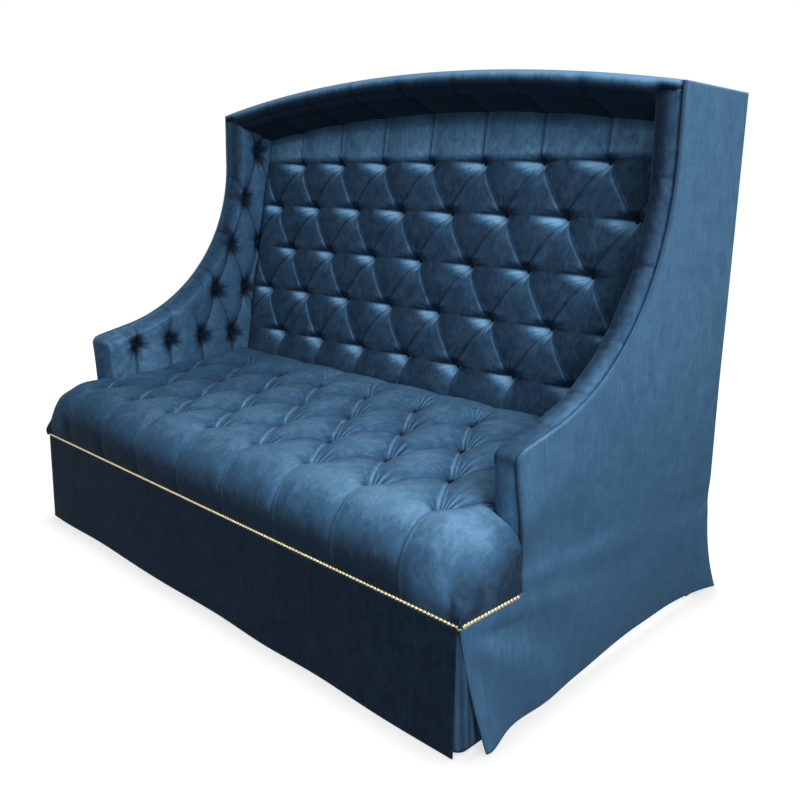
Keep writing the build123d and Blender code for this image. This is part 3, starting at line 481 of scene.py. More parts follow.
def seat_depth(u, v, points):
    """How far the seat's face is sewn in: channels over the front, diamonds, channels at the rear."""
    s = sizes()
    pitch = s.tuft_pitch
    a = points[:, 0] / pitch
    y = (points[:, 1] - OPENING_SHIFT) / MM
    z = points[:, 2] / MM
    row = (y - ROW_Y) / ROW_STEP
    inner = np.clip(a, -4, 4)
    width = math.hypot(pitch / 2, ROW_STEP * MM)
    cell_width = pitch * ROW_STEP * MM / width
    p, q = inner + 0.5 + row / 2, inner + 0.5 - row / 2
    middle = diamonds(p, q, cell_width, s.seat_pleat_depth, s.tuck_height)
    front = channels(inner + 0.5, pitch, s.channel_depth, s.tuck_height, 4.5)
    front *= 0.35 + 0.65 * smooth(z, NAIL_Z + 30, FRONT_CROWN_Z - 10)
    rear = channels(inner, pitch, s.channel_depth, s.tuck_height)
    depth = front + (middle - front) * smooth(row, -0.12, 0.16)
    depth += (0.45 * rear - depth) * smooth(row, 2.9, 3.3)
    near_row, near_a, dx, dy = nearest_button(a, row, 3, 0.5, ROW_STEP)
    depth += pit(dx, dy, 0.013, 0.022, 0.026, 0.020)
    spread = 0.12 + bell(np.arctan2(dy, dx) - 1.45, 0.75)
    fan = fans(dx, dy, 0.046, 19, near_a * 2.1 + near_row) * spread
    depth += 0.003 * fan
    # Painted light and shade: pleat lines, lighter lobe middles and darker valleys, and shade in the fine folds.
    in_rows = smooth(row, -0.1, 0.1) * (1 - smooth(row, 2.95, 3.2)) * (1 - smooth(np.abs(a), 3.9, 4.1))
    lobe = np.abs(np.sin(math.pi * p) * np.sin(math.pi * q))
    tone = (1.7 * pleat_light_shade(p, q, cell_width) + 0.24 * (lobe - 0.5)) * in_rows - 0.7 * fan - 0.09
    # Painted highlight on the top of the front roll; painted shade on the outer sides of the ears and towards the left
    # end.
    tone += 0.12 * smooth(z, FRONT_CROWN_Z - 100, FRONT_CROWN_Z - 5)
    outer = smooth(np.abs(points[:, 0]) / MM, 872, 902)
    tone -= 0.13 * outer * (1 - smooth(y, 200, 215)) + 0.2 * smooth(-a, 0.5, 3.5)
    # Painted shadow in each button's hollow and behind each pleat's crest.
    tone -= 1.0 * np.exp(-((dx - 0.006) / 0.018) ** 2 - ((dy + 0.001) / 0.010) ** 2)
    behind_crest = to_line(q) * cell_width
    tone -= 0.3 * smooth(behind_crest, -0.002, 0.002) * np.exp(-np.maximum(behind_crest, 0) / 0.014) * in_rows
    # Painted highlight along the front crest, painted shade on the low front face.
    crest = bell((to_line(inner + 0.5) - 0.05) * pitch, 0.005) * (1 - smooth(row, -0.25, 0))
    foot = (1 - smooth(z, NAIL_Z + 15, NAIL_Z + 125)) * (1 - 0.75 * smooth(np.abs(a), 3.3, 3.9))
    tone += 0.22 * crest - 0.4 * foot
    # Painted highlight on the front lobes, strongest to the right, the rear painted darker, and the ears' low front
    # painted lighter.
    tone += (0.08 + 0.17 * smooth(a, 0.5, 3.0)) * bell(row + 0.22, 0.3) - 0.1 * smooth(row, 0.6, 2.2)
    ear = smooth(np.abs(a), 3.4, 3.9) * (1 - outer)
    tone += 0.3 * ear * (1 - smooth(z, NAIL_Z + 50, NAIL_Z + 150))
    edge = bell(HALF - 83 - np.abs(points[:, 0]) / MM, 16) * smooth(y, 175, 200)
    depth += 0.012 * edge
    hem = 1 - smooth(z, TACK_Z, TACK_Z + 16)
    return depth * (1 - hem), tone


def pit(dx, dy, depth, across, above, below):
    """Depth of the hollow over a button, with a reach of its own across, above and below."""
    tall = np.where(dy > 0, above, below)
    r = np.hypot(dx / across, dy / tall)
    return depth * np.exp(-np.maximum(r - 0.15, 0) ** 1.4)


def ledge(dx, dy, height, reach, fall):
    """Slack cloth under a level crease beside a button: sharp above, running out below."""
    side = np.abs(dx)
    share = smooth(side, 0.002, 0.014) * np.exp(-np.maximum(side - 0.012, 0) / reach)
    share *= np.where(dx < 0, 1.0, 0.45) * (1 - smooth(side, 1.4 * reach, 2.1 * reach))
    return height * share * np.where(dy > 0, bell(dy, 0.004), np.exp(dy / fall))


def shelf_highlight(dx, dy, reach, fall):
    """Painted highlight on the slack below a level crease, where light from above falls, from the button outwards;
    fine rays run to the button.
    """
    left = np.maximum(-dx, 0)
    tall = fall * (1 - 0.85 * np.clip(left / reach, 0, 1)) * np.where(dx > 0, np.exp(-dx / 0.012), 1)
    lower = 1 - smooth(-dy / tall, 0.05, 1.0)
    upper = 1 - smooth(dy, -0.003, 0.005)
    ends = (1 - smooth(left, 0.3 * reach, reach)) * smooth(-dx, -0.02, 0.004)
    angle = np.arctan2(dy, dx - 0.004)
    rays = 0.9 + 0.2 * np.cos(21 * angle + 2 * np.sin(5 * angle))
    return lower * upper * ends * rays * (1.1 - 0.55 * left / reach)


def pleat_light_shade(p, q, cell_width):
    """Two painted highlight lines along one way of the pleats, where the tucks catch the light, a painted shade line
    between them, and one along the other way.
    """
    dp, dq = to_line(p) * cell_width, to_line(q) * cell_width
    t = q - np.floor(q)
    highlit_span = smooth(t, 0.05, 0.35) * (1 - smooth(t, 0.75, 0.97))
    light = bell(np.abs(dp + 0.001) - 0.0048, 0.0026)
    dark = bell(dq, 0.003)
    return 0.3 * light * highlit_span - 0.2 * dark - 0.12 * bell(dp, 0.0022)


def back_top(x):
    """How far up the leaning back the ceiling cuts it."""
    rise = arch_top(x, CEILING_DROP - 3) - BACK_Z
    return rise / math.cos(RAKE)


def back_shape(u, v):
    """Plain form of the inside back's face: leaning, arched at its top."""
    x = (2 * u - 1) * SEAT_HALF
    last_row = 4 * BACK_STEP
    low_share = 0.82
    lower = BACK_LOW + (last_row - BACK_LOW) * v / low_share
    upper = last_row + (back_top(x) - last_row) * (v - low_share) / (1 - low_share)
    up = np.where(v < low_share, lower, upper)
    z = BACK_Z + up * math.cos(RAKE) + BACK_CROWN * math.sin(RAKE)
    y = BACK_Y + up * math.sin(RAKE) - BACK_CROWN * math.cos(RAKE)
    return placed(x, y, z)


def back_depth(u, v, points):
    """How far the inside back is sewn in: channels, five rows of buttons, channels to the hood."""
    s = sizes()
    pitch = s.tuft_pitch
    a = points[:, 0] / pitch
    z = points[:, 2] / MM
    up = (z - BACK_CROWN * math.sin(RAKE) - BACK_Z) / math.cos(RAKE)
    row = up / BACK_STEP
    width = math.hypot(pitch / 2, BACK_STEP * MM)
    cell_width = pitch * BACK_STEP * MM / width
    p, q = a + row / 2, a - row / 2
    middle = diamonds(p, q, cell_width, s.pleat_depth, 0.35 * s.tuck_height, 4.0)
    straight = channels(a, pitch, s.channel_depth, s.tuck_height)
    inside = smooth(row, -0.12, 0.16) * (1 - smooth(row, 3.86, 4.12))
    depth = straight + (middle - straight) * inside
    near_row, near_a, dx, dy = nearest_button(a, row, 4, 0.0, BACK_STEP)
    hold = 1 - smooth(np.abs(dy) / (BACK_STEP * MM), 0.3, 0.5)
    depth += (pit(dx, dy, 0.029, 0.026, 0.018, 0.030) + ledge(dx, dy, 0.013, 0.055, 0.034)) * hold
    fan = fans(dx, dy, 0.055, 13, near_a * 1.7 + near_row * 2.3) * hold
    depth += 0.0009 * fan
    # Painted light and shade: a highlight on the slack below each button's crease, lit from above, pleat lines, shade
    # in the folds, and a painted shadow above and right of each button.
    reach = pitch * np.where(near_row > 2, 0.68, 0.47)
    tone = 0.95 * shelf_highlight(dx, dy, reach, 0.062) * (1 - smooth(np.abs(a), 3.7, 3.9))
    tone += (1.15 + 0.7 * smooth(-a, 0, 3)) * pleat_light_shade(p, q, cell_width) * inside - 0.06 * fan - 0.24
    tone -= 0.5 * np.exp(-((dx - 0.004) / 0.012) ** 2 - ((dy - 0.007) / 0.010) ** 2)
    # The channels above the last row are painted lighter, with painted shade lines at the pleats and the hood's shadow
    # painted along the top.
    top = smooth(row, 4.0, 4.15)
    tone += top * (0.5 + 0.16 * bell((to_line(a) - 0.05) * pitch, 0.009))
    tone -= top * (0.25 * bell((to_line(a) + 0.01) * pitch, 0.006) + 0.4 * smooth(v, 0.94, 1.0))
    sag = bell(dy - 0.020, 0.014) * bell(dx, 0.05)
    depth -= 0.007 * sag
    # Both ends are drawn in and painted in shade beside the wings.
    side = bell(SEAT_HALF - np.abs(points[:, 0]) / MM, 14)
    return depth + 0.006 * side, tone - 0.2 * side


def wing_paths():
    """The wing's front edge from the arm's foot to the hood, and the line that ends its face below and behind."""
    centre, start, _, turn = tip_arc()
    first = math.atan2(*(start - centre)[::-1]) % (2 * math.pi)
    low = np.array([[arm_front_y(WING_LOW_Z), WING_LOW_Z]])
    round_tip = arc(centre, TIP_R, first, first - turn, 24)
    sweep = arc((SWEEP_Y, SWEEP_Z), SWEEP_R, -SWEEP_ANGLE, 0, 96)
    top_z = CORNER_Z - 20
    upright = np.array([[WING_Y, top_z]])
    edge = path_points(low, round_tip, sweep, upright)
    heel_y = back_y(WING_LOW_Z, 0)
    behind = path_points(np.array([
        [arm_front_y(WING_LOW_Z) + 30, WING_LOW_Z],
        [heel_y, WING_LOW_Z],
        [back_y(top_z, -12), top_z],
    ]))
    return edge, behind


def wing_shape(side, edge, behind):
    """Plain form of one wing pad: round its front edge, then over its inside."""
    turn = np.array(ROLL_SHARES[::-1])
    roll_x = CROWN_X + turn[:, 0] * (FLAT_X - CROWN_X)
    roll_in = turn[:, 1] * ROLL_T
    steps = np.hypot(np.diff(roll_x), np.diff(roll_in))
    reach = np.concatenate([[0], np.cumsum(steps)])
    roll_share = 0.24

    def shape(u, v):
        at = u * edge[1][-1]
        y, z = along(edge, at)
        y0, z0 = along(edge, np.maximum(at - 12, 0))
        y1, z1 = along(edge, np.minimum(at + 12, edge[1][-1]))
        length = np.hypot(y1 - y0, z1 - z0)
        ny, nz = (z1 - z0) / length, -(y1 - y0) / length
        turned = np.clip(v / roll_share, 0, 1) * reach[-1]
        x = np.interp(turned, reach, roll_x)
        inward = np.interp(turned, reach, roll_in)
        far_y, far_z = along(behind, u ** 0.9 * behind[1][-1])
        share = np.clip((v - roll_share) / (1 - roll_share), 0, 1)
        start_y, start_z = y + ny * inward, z + nz * inward
        y = start_y + (far_y - start_y) * share
        z = start_z + (far_z - start_z) * share
        return placed(side * x, y, z)
    return shape


def wing_depth(u, v, points):
    """How far the wing's inside is sewn in."""
    s = sizes()
    y = (points[:, 1] - OPENING_SHIFT) / MM
    z = points[:, 2] / MM
    b = (y - WING_Y0) / WING_PITCH
    row = (z - WING_Z0) / WING_STEP
    width = math.hypot(WING_PITCH / 2, WING_STEP) * MM
    cell_width = WING_PITCH * WING_STEP * MM * MM / width
    p, q = b + row / 2, b - row / 2
    middle = diamonds(p, q, cell_width, 0.015, s.tuck_height * 0.8)
    straight = channels(b, WING_PITCH * MM, 0.013, s.tuck_height * 0.8)
    inside = smooth(row, -0.1, 0.12) * smooth(b - 0.5 * row, 1.3, 1.7)
    depth = straight + (middle - straight) * inside
    near_row = np.clip(np.round(row), 0, 4)
    first, last = np.array(WING_ROWS, float)[near_row.astype(int)].T
    near_k = np.clip(np.round(b - near_row / 2), first, last)
    dx = (b - near_row / 2 - near_k) * WING_PITCH * MM
    dy = (row - near_row) * WING_STEP * MM
    depth += pit(dx, dy, 0.022, 0.020, 0.024, 0.026)
    fan = fans(dx, dy, 0.04, 9, near_k * 1.9 + near_row)
    depth += 0.0016 * fan
    angle = np.arctan2(dy, dx)
    star = 1 + 0.12 * np.cos(5 * angle + 2.1 * near_k) + 0.1 * np.cos(3 * angle + near_row)
    # Painted light and shade: painted shadow in each button's star-shaped hollow and the fold below it, darker towards
    # the rear and more so on the right wing, and painted shade along the pleats and channels.
    tail = bell(dx, 0.0045) * np.where(dy < 0, 0.8 * np.exp(dy / 0.04), 0.4 * np.exp(-dy / 0.03))
    lit = (points[:, 0] < 0).astype(float)
    tone = 0.36 - (0.42 - 0.2 * lit) * smooth(y, 330, 620) - 0.1 * fan - 0.6 * tail
    tone -= 1.4 * np.exp(-np.hypot(dx / (0.024 * star), dy / (0.030 * star)) ** 2)
    pleat_shade_lines = bell(to_line(b) * WING_PITCH * MM, 0.003)
    pleat_shade_lines += (bell(to_line(p) * cell_width, 0.003) + bell(to_line(q) * cell_width, 0.003)
              - pleat_shade_lines) * inside
    tone -= 0.28 * pleat_shade_lines
    crown = np.abs(points[:, 0]) / MM - CROWN_X
    from_edge = edge_distance(y, z)
    roll = 1 - smooth(from_edge, 8, 34 + 46 * lit)
    depth *= 1 - 0.85 * roll
    pucker = np.cos(2 * math.pi * (z * 0.55 + y * 0.83) / 31)
    elbow = bell(z - 640, 60) + 0.5 * bell(z - 820, 60)
    depth += 0.0012 * pucker * elbow * roll * (1 - smooth(crown, 60, 76))
    depth = np.minimum(depth, WING_PIT_LIMIT)
    # Near the front edge the painted tone is evened out and the turned part painted darker, and the right arm's top is
    # painted in shade.
    tone -= 0.24 * lit * smooth(crown, 0.5, 7) * (1 - smooth(crown, 34, 66))
    turned = smooth(crown, 4, 22) * (1 - 0.85 * smooth(crown, 26, 66)) + 0.8 * smooth(crown, 69, 76)
    tone *= 1 - (0.6 - 0.4 * lit) * roll
    tone -= (0.42 - 0.3 * lit) * turned * smooth(z, ARM_TOP_Z, ARM_TOP_Z + 60) + 0.05 * lit
    tone -= 0.42 * (1 - lit) * bell(z - ARM_TOP_Z, 35) * smooth(crown, 2, 12)
    return depth, tone


def edge_distance(y, z):
    """Distance behind the wing's front edge."""
    to_centre = np.hypot(y - SWEEP_Y, z - SWEEP_Z)
    arm_top = (y - ARM_TOP_Y) * math.cos(SWEEP_ANGLE) - (z - ARM_TOP_Z) * math.sin(SWEEP_ANGLE)
    sweep = np.where(np.arctan2(z - SWEEP_Z, y - SWEEP_Y) < -SWEEP_ANGLE, arm_top, to_centre - SWEEP_R)
    upright = y - WING_Y
    front = (y - arm_front_y(z)) * math.cos(math.atan(ARM_LEAN))
    return np.where(z > SWEEP_Z, upright, np.where(z > ARM_TOP_Z, sweep, np.minimum(front, np.maximum(sweep, 0))))


def arc_through(a, b, c):
    """Points on the arc through three points."""
    a, b, c = (np.array(point, float) for point in (a, b, c))
    d = 2 * ((b - a)[0] * (c - a)[1] - (b - a)[1] * (c - a)[0])
    ab, ac = (b - a) @ (b - a), (c - a) @ (c - a)
    centre = a + np.array([(c - a)[1] * ab - (b - a)[1] * ac, (b - a)[0] * ac - (c - a)[0] * ab]) / d
    radius = np.linalg.norm(a - centre)
    start, mid, end = (math.atan2(*(point - centre)[::-1]) for point in (a, b, c))
    full = 2 * math.pi
    span = (end - start) % full
    if (mid - start) % full > span:
        span -= full
    return arc(centre, radius, start, start + span, 24)


def on_arch(x, y, drop):
    """Points under the hood's arch, turned about its own axis."""
    angle = x / ARCH_R
    radius = ARCH_R - drop
    return placed(radius * np.sin(angle), y, ARCH_Z + radius * np.cos(angle))


def add_node(tree, kind, settings=None, **links):
    """Add a shader node with its settings, the stops of its colour ramp and its linked inputs. An input that
    has no name of its own is given by number, as i0."""
    node = tree.nodes.new("ShaderNode" + kind)
    for key, value in (settings or {}).items():
        if key == "stops":
            elements = node.color_ramp.elements
            while len(elements) < len(value):
                elements.new(0.5)
            for element, (position, colour) in zip(elements, value):
                element.position, element.color = position, (*colour, 1)
        elif isinstance(key, str) and hasattr(node, key):
            setattr(node, key, value)
        else:
            node.inputs[key].default_value = value
    for key, source in links.items():
        place = int(key[1:]) if key[1:].isdigit() else key.replace("_", " ")
        tree.links.new(source, node.inputs[place])
    return node


def new_finish(name, **settings):
    """A material with one surface shader and object coordinates, ready for its pattern."""
    material = bpy.data.materials.new(name)
    material.use_nodes = True
    tree = material.node_tree
    shader = tree.nodes["Principled BSDF"]
    for key, value in settings.items():
        shader.inputs[key.replace("_", " ")].default_value = value
    place = add_node(tree, "TexCoord").outputs["Object"]
    return tree, shader, place


def rgb(colour, factor=1.0):
    """A colour property as a plain list, made lighter or darker."""
    return [min(1, c * factor) for c in colour]


def patterned(tree, shader, tint, stops, relief, strength, height):
    """Give a finish the colours of one pattern and the relief of another, with its height in metres."""
    tone = add_node(tree, "ValToRGB", {"stops": stops}, Fac=tint)
    tree.links.new(tone.outputs["Color"], shader.inputs["Base Color"])
    bump = add_node(tree, "Bump", {"Strength": strength, "Distance": height}, Height=relief)
    tree.links.new(bump.outputs["Normal"], shader.inputs["Normal"])
    return bump


def velvet(name, streaks, scale, crush, top_light, base_light):
    """Cotton velvet, woven and shorn, with painted light and shade: a face that turns up is painted lighter, as if lit
    from above, one that turns down is painted darker, and the light and shade painted on the mesh is added; handling
    leaves soft patches of about 50 mm and streaks of about 10 mm. The pile's fibres, 0.02 mm thick, are far too fine
    to show and are drawn at 1 mm."""
    colours = bpy.context.scene.settee_colours
    tree, shader, place = new_finish(name, Roughness=0.75, Sheen_Weight=0.09, Sheen_Roughness=0.4,
                                     Specular_IOR_Level=0.06, Sheen_Tint=(*colours.sheen, 1))
    along_pile = add_node(tree, "Mapping", {"Scale": streaks}, Vector=place).outputs["Vector"]
    patch, streak, fibre = (
        add_node(tree, "TexNoise", look, Vector=where).outputs["Fac"] for look, where in (
            ({"Scale": 20.0, "Detail": 4.0, "Roughness": 0.6, "Distortion": 0.8}, place),
            ({"Scale": scale, "Detail": 5.0, "Roughness": 0.62, "Distortion": 0.6}, along_pile),
            ({"Scale": 900.0, "Detail": 2.0}, place)))
    # Painted light from above: the more a face turns up, the lighter its colour; the more it turns down, the darker.
    face = add_node(tree, "SeparateXYZ", Vector=add_node(tree, "NewGeometry").outputs["Normal"])
    level = 0.5 + 0.5 * base_light - 0.5 * (0.07 + 2.15 * crush)
    tilt = add_node(tree, "Math", {"operation": "MULTIPLY_ADD", 1: 0.5 * top_light, 2: level}, i0=face.outputs["Z"])
    # The light and shade painted on each mesh point is added to it.
    light_shade_attribute = add_node(tree, "Attribute", {"attribute_name": "brushed"})
    tilt = add_node(tree, "Math", {"operation": "MULTIPLY_ADD", 1: 0.5}, i0=light_shade_attribute.outputs["Fac"],
                    i2=tilt.outputs["Value"])
    for source, share in ((patch, 1.15 * crush), (streak, crush), (fibre, 0.07)):
        spread = add_node(tree, "MapRange", {"From Min": 0.3, "From Max": 0.7}, Value=source)
        tilt = add_node(tree, "Math", {"operation": "MULTIPLY_ADD", 1: share},
                        i0=spread.outputs["Result"], i2=tilt.outputs["Value"])
    # Colour stops of one velvet, from painted deep shade to painted highlight.
    stops = ((0.22, colours.pile_deepest_shade), (0.5, colours.pile_shaded), (0.6, colours.pile),
             (0.77, colours.pile_half_lit), (1.0, colours.pile_lit))
    crushed = patterned(tree, shader, tilt.outputs["Value"], stops, streak, 0.3, 0.003)
    pile = add_node(tree, "Bump", {"Strength": 0.25, "Distance": 0.0012}, Height=fibre)
    tree.links.new(pile.outputs["Normal"], crushed.inputs["Normal"])


def brass():
    """Brass-plated steel nailheads, pressed and tumbled: warm, with tarnish in spots of about 6 mm and dents of
    about 2.4 mm."""
    colours = bpy.context.scene.settee_colours
    tree, shader, place = new_finish("brass_plate", Metallic=1.0, Roughness=0.3)
    tarnish = add_node(tree, "TexNoise", {"Scale": 160.0, "Detail": 3.0}, Vector=place).outputs["Fac"]
    dents = add_node(tree, "TexNoise", {"Scale": 420.0}, Vector=place).outputs["Fac"]
    patterned(tree, shader, tarnish, ((0.35, rgb(colours.brass, 0.72)), (0.65, rgb(colours.brass))),
              dents, 0.2, 0.0004)
    rough = add_node(tree, "MapRange", {"To Min": 0.22, "To Max": 0.42}, Value=tarnish)
    tree.links.new(rough.outputs["Result"], shader.inputs["Roughness"])


def timber(name, colour, scale, contrast):
    """Planed, unfinished timber: pale, with dark rays and rings about 17 mm apart, stretched along the board."""
    tree, shader, place = new_finish(name, Roughness=0.6)
    board = add_node(tree, "Mapping", {"Scale": scale}, Vector=place).outputs["Vector"]
    rings = add_node(tree, "TexNoise", {"Scale": 60.0, "Detail": 6.0, "Distortion": 0.6}, Vector=board)
    rings = rings.outputs["Fac"]
    patterned(tree, shader, rings, ((0.3, rgb(colour, contrast)), (0.6, rgb(colour))), rings, 0.2, 0.0005)


def woven(name, colour, thread, contrast):
    """Plain-woven cloth: crossing sets of threads, drawn at their real spacing in metres."""
    tree, shader, place = new_finish(name, Roughness=0.9)
    crossed = None
    for way in ("X", "Z", "Y"):
        wave = add_node(tree, "TexWave", {"wave_type": "BANDS", "bands_direction": way,
                                          "Scale": 0.314 / thread, "Distortion": 1.2}, Vector=place).outputs["Fac"]
        if crossed:
            wave = add_node(tree, "Math", {"operation": "MAXIMUM"}, i0=crossed, i1=wave).outputs["Value"]
        crossed = wave
    patterned(tree, shader, crossed, ((0.2, rgb(colour, contrast)), (0.9, rgb(colour))), crossed, 0.5, 0.0008)


def porous(name, colour, scale, roughness):
    """Moulded or foamed plastic: even colour with pores of about one part in the scale of a metre."""
    tree, shader, place = new_finish(name, Roughness=roughness)
    pores = add_node(tree, "TexVoronoi", {"Scale": scale}, Vector=place).outputs["Distance"]
    patterned(tree, shader, pores, ((0.1, rgb(colour, 0.8)), (0.5, rgb(colour))), pores, 0.4, 0.0006)


class SETTEE_OT_finishes(bpy.types.Operator):
    """Make every finish, and give the frame's own parts theirs"""
    bl_idname = "settee.finishes"
    bl_label = "Finishes"

    def execute(self, context):
        colours = context.scene.settee_colours
        # Three copies of one velvet in painted light: the outside covers painted lighter, as lit from the side, and
        # the skirt painted darker, in shade.
        velvet("velvet_tufted", (1.0, 0.4, 0.4), 100.0, 0.085, 0.32, 0.34)
        velvet("velvet_outside", (1.0, 1.0, 0.12), 110.0, 0.045, 0.5, 0.5)
        velvet("velvet_skirt", (1.0, 1.0, 0.16), 110.0, 0.15, 0.5, -0.39)
        brass()
        timber("beech_planed", colours.beech, (0.15, 1.0, 1.0), 0.7)
        timber("plywood_sawn", colours.ply, (1.0, 0.12, 1.0), 0.8)
        woven("jute_webbing", colours.webbing, 0.003, 0.55)
        woven("jute_hessian", colours.hessian, 0.0022, 0.5)
        woven("cambric_cloth", colours.cambric, 0.001, 0.7)
        porous("polyether_foam", colours.foam, 500.0, 0.9)
        porous("nylon_moulded", colours.nylon, 300.0, 0.5)
        finishes = {
            "beech_planed": ["front_rail", "rear_seat_rail", "side_rail_right", "side_rail_left", "cross_rails",
                             "front_legs", "centre_legs", "back_post_right", "back_post_left", "corner_blocks",
                             "rear_outer_rails", "front_batten", "side_batten_right", "side_batten_left",
                             "hood_front_rail", "hood_rear_rail", "hood_ribs", "back_stiles"],
            "plywood_sawn": ["side_panel_right", "side_panel_left", "arm_batten_right", "arm_batten_left"],
            "jute_webbing": ["seat_webbing", "back_webbing"],
            "jute_hessian": ["seat_hessian", "back_hessian"],
            "cambric_cloth": ["dust_cover"],
            "polyether_foam": ["seat_foam"],
            "nylon_moulded": ["glides"],
        }
        for finish, nodes in finishes.items():
            for node in nodes:
                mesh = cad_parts[node].data
                mesh.materials.clear()
                mesh.materials.append(bpy.data.materials[finish])
        return {"FINISHED"}


def risen(mesh, held, side, cap):
    """Let air into a coarse pad with the cloth simulation, and return how its points moved, no further than a cap.
    What is sewn deepest is held most."""
    if side < 0:
        with opened(mesh) as bm:
            bmesh.ops.reverse_faces(bm, faces=bm.faces)
    piece = bpy.data.objects.new("rising_pad", mesh)
    scene = bpy.context.scene
    scene.collection.objects.link(piece)
    group = piece.vertex_groups.new(name="sewn")
    for weight in (0.25, 0.5, 0.75, 1.0):
        near = np.nonzero((held > weight - 0.125) & (held <= weight + 0.125))[0]
        group.add(near.tolist(), weight, "REPLACE")
    cloth = piece.modifiers.new("air", "CLOTH")
    settings = cloth.settings
    settings.quality = 4
    settings.mass = 0.4
    settings.vertex_group_mass = "sewn"
    settings.use_pressure = True
    settings.uniform_pressure_force = 4.0
    settings.effector_weights.gravity = 0
    settings.air_damping = 4
    cloth.collision_settings.use_collision = False
    cloth.point_cache.frame_end = sizes().rise_frames
    start = np.zeros(len(mesh.vertices) * 3, np.float32)
    mesh.vertices.foreach_get("co", start)
    for number in range(1, sizes().rise_frames + 1):
        scene.frame_set(number)
    result = piece.evaluated_get(bpy.context.evaluated_depsgraph_get()).data
    end = np.zeros_like(start)
    result.vertices.foreach_get("co", end)
    scene.frame_set(1)
    moved = (end - start).reshape(-1, 3)
    bpy.data.objects.remove(piece)
    bpy.data.meshes.remove(mesh)
    length = np.linalg.norm(moved, axis=1, keepdims=True)
    return moved * np.minimum(1, cap / np.maximum(length, 1e-9))


def padded_piece(name, shape, depth, width, height, side, moves, nodes, air=0.0, keep=None, layer=False):
    """One upholstered pad: its face is a fine grid sewn in by a formula, raised by air and closed behind. Its width
    and height along the face, in metres, set the number of cells, and air is the most that it may rise."""
    cell = sizes().cell
    columns, rows = round(width / cell), round(height / cell)
    sewn = {}
    form = pushed(shape, depth, side, sewn)
    lift = None
    if air:
        coarse_columns, coarse_rows = columns // 3, rows // 3
        lift = np.zeros((coarse_rows + 1, coarse_columns + 1, 3))
        places = []

        def coarse_form(u, v):
            places[:] = [np.rint(v * coarse_rows).astype(int), np.rint(u * coarse_columns).astype(int)]
            return form(u, v)
        mesh = grid_mesh("rising_pad", coarse_columns, coarse_rows, coarse_form)
        border = (places[0] % coarse_rows == 0) | (places[1] % coarse_columns == 0)
        held = np.maximum(smooth(sewn["depth"], 0.003, 0.012), border)
        lift[places[0], places[1]] = risen(mesh, held, side, air)

    def final_form(u, v):
        points = form(u, v)
        if lift is not None:
            points = points + sampled(lift, u, v)
        return points
    mesh = grid_mesh(name, columns, rows, final_form)
    paint_light_shade(mesh, sewn["tone"])
    if keep:
        cut_away(mesh, keep)
    if layer:
        back_with_layer(mesh, moves[0])
    else:
        close_behind(mesh, *moves)
    piece = show(mesh, "velvet_tufted")
    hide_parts(*nodes)


def sampled(field, u, v):
    """Values of a coarse grid at finer places, blended between its points."""
    rows, columns = field.shape[0] - 1, field.shape[1] - 1
    a, b = np.clip(u * columns, 0, columns - 1e-9), np.clip(v * rows, 0, rows - 1e-9)
    i, j = a.astype(int), b.astype(int)
    s, t = (a - i)[:, None], (b - j)[:, None]
    low = field[j, i] * (1 - s) + field[j, i + 1] * s
    high = field[j + 1, i] * (1 - s) + field[j + 1, i + 1] * s
    return low * (1 - t) + high * t


def cut_away(mesh, keep):
    """Delete the faces whose middle a test refuses."""
    with opened(mesh) as bm:
        out = [face for face in bm.faces if not keep(face.calc_center_median())]
        bmesh.ops.delete(bm, geom=out, context="FACES")


class SETTEE_OT_seat(bpy.types.Operator):
    """Make the tufted seat with its two ears and its waterfall front"""
    bl_idname = "settee.seat"
    bl_label = "Seat"

    def execute(self, context):
        side, ear = seat_paths()
        shape = seat_shape(side, ear)

        def inside(centre):
            y = (centre.y - OPENING_SHIFT) / MM
            return abs(centre.x) < SEAT_HALF * MM or y < arm_front_y(centre.z / MM) - 2

        def under(point):
            if point.z >= FLAP_TOP_Z * MM:
                return Vector((point.x, point.y, min(point.z, PAD_CORE_Z * MM)))
            x = math.copysign(min(abs(point.x), (HALF - FLAP) * MM), point.x)
            return Vector((x, max(point.y, OPENING_SHIFT + FLAP * MM), point.z))

        def base(point):
            return Vector((point.x, point.y, SEAT_UNDER_Z * MM))
        padded_piece("tufted_seat", shape, seat_depth, 2 * ear[1][-1] * MM, side[1][-1] * MM, 1,
                     (under, base), ["seat_pad"], 0.006, keep=inside)
        return {"FINISHED"}


class SETTEE_OT_back(bpy.types.Operator):
    """Make the tufted inside back"""
    bl_idname = "settee.back"
    bl_label = "Inside back"

    def execute(self, context):
        normal = Vector((0, -math.cos(RAKE), math.sin(RAKE)))
        origin = Vector((0, BACK_Y * MM + OPENING_SHIFT, BACK_Z * MM))

        def behind(point):
            return point - normal * ((point - origin).dot(normal) + BACK_BEHIND * MM)
        padded_piece("tufted_back", back_shape, back_depth, 2 * SEAT_HALF * MM, 1.02, 1,
                     (behind,), ["back_pad"], 0.005)
        return {"FINISHED"}


class SETTEE_OT_wings(bpy.types.Operator):
    """Make the tufted insides of both wings and arms, with the roll round their front edges"""
    bl_idname = "settee.wings"
    bl_label = "Wings"

    def execute(self, context):
        edge, behind = wing_paths()
        for name, side in SIDES:
            shape = wing_shape(side, edge, behind)

            def outer(point):
                return Vector((side * (CROWN_X + 30) * MM, point.y, point.z))
            padded_piece("tufted_wing_" + name, shape, wing_depth, edge[1][-1] * MM, 0.85, side,
                         (outer,), ["wing_pad_" + name], 0.003)
        return {"FINISHED"}


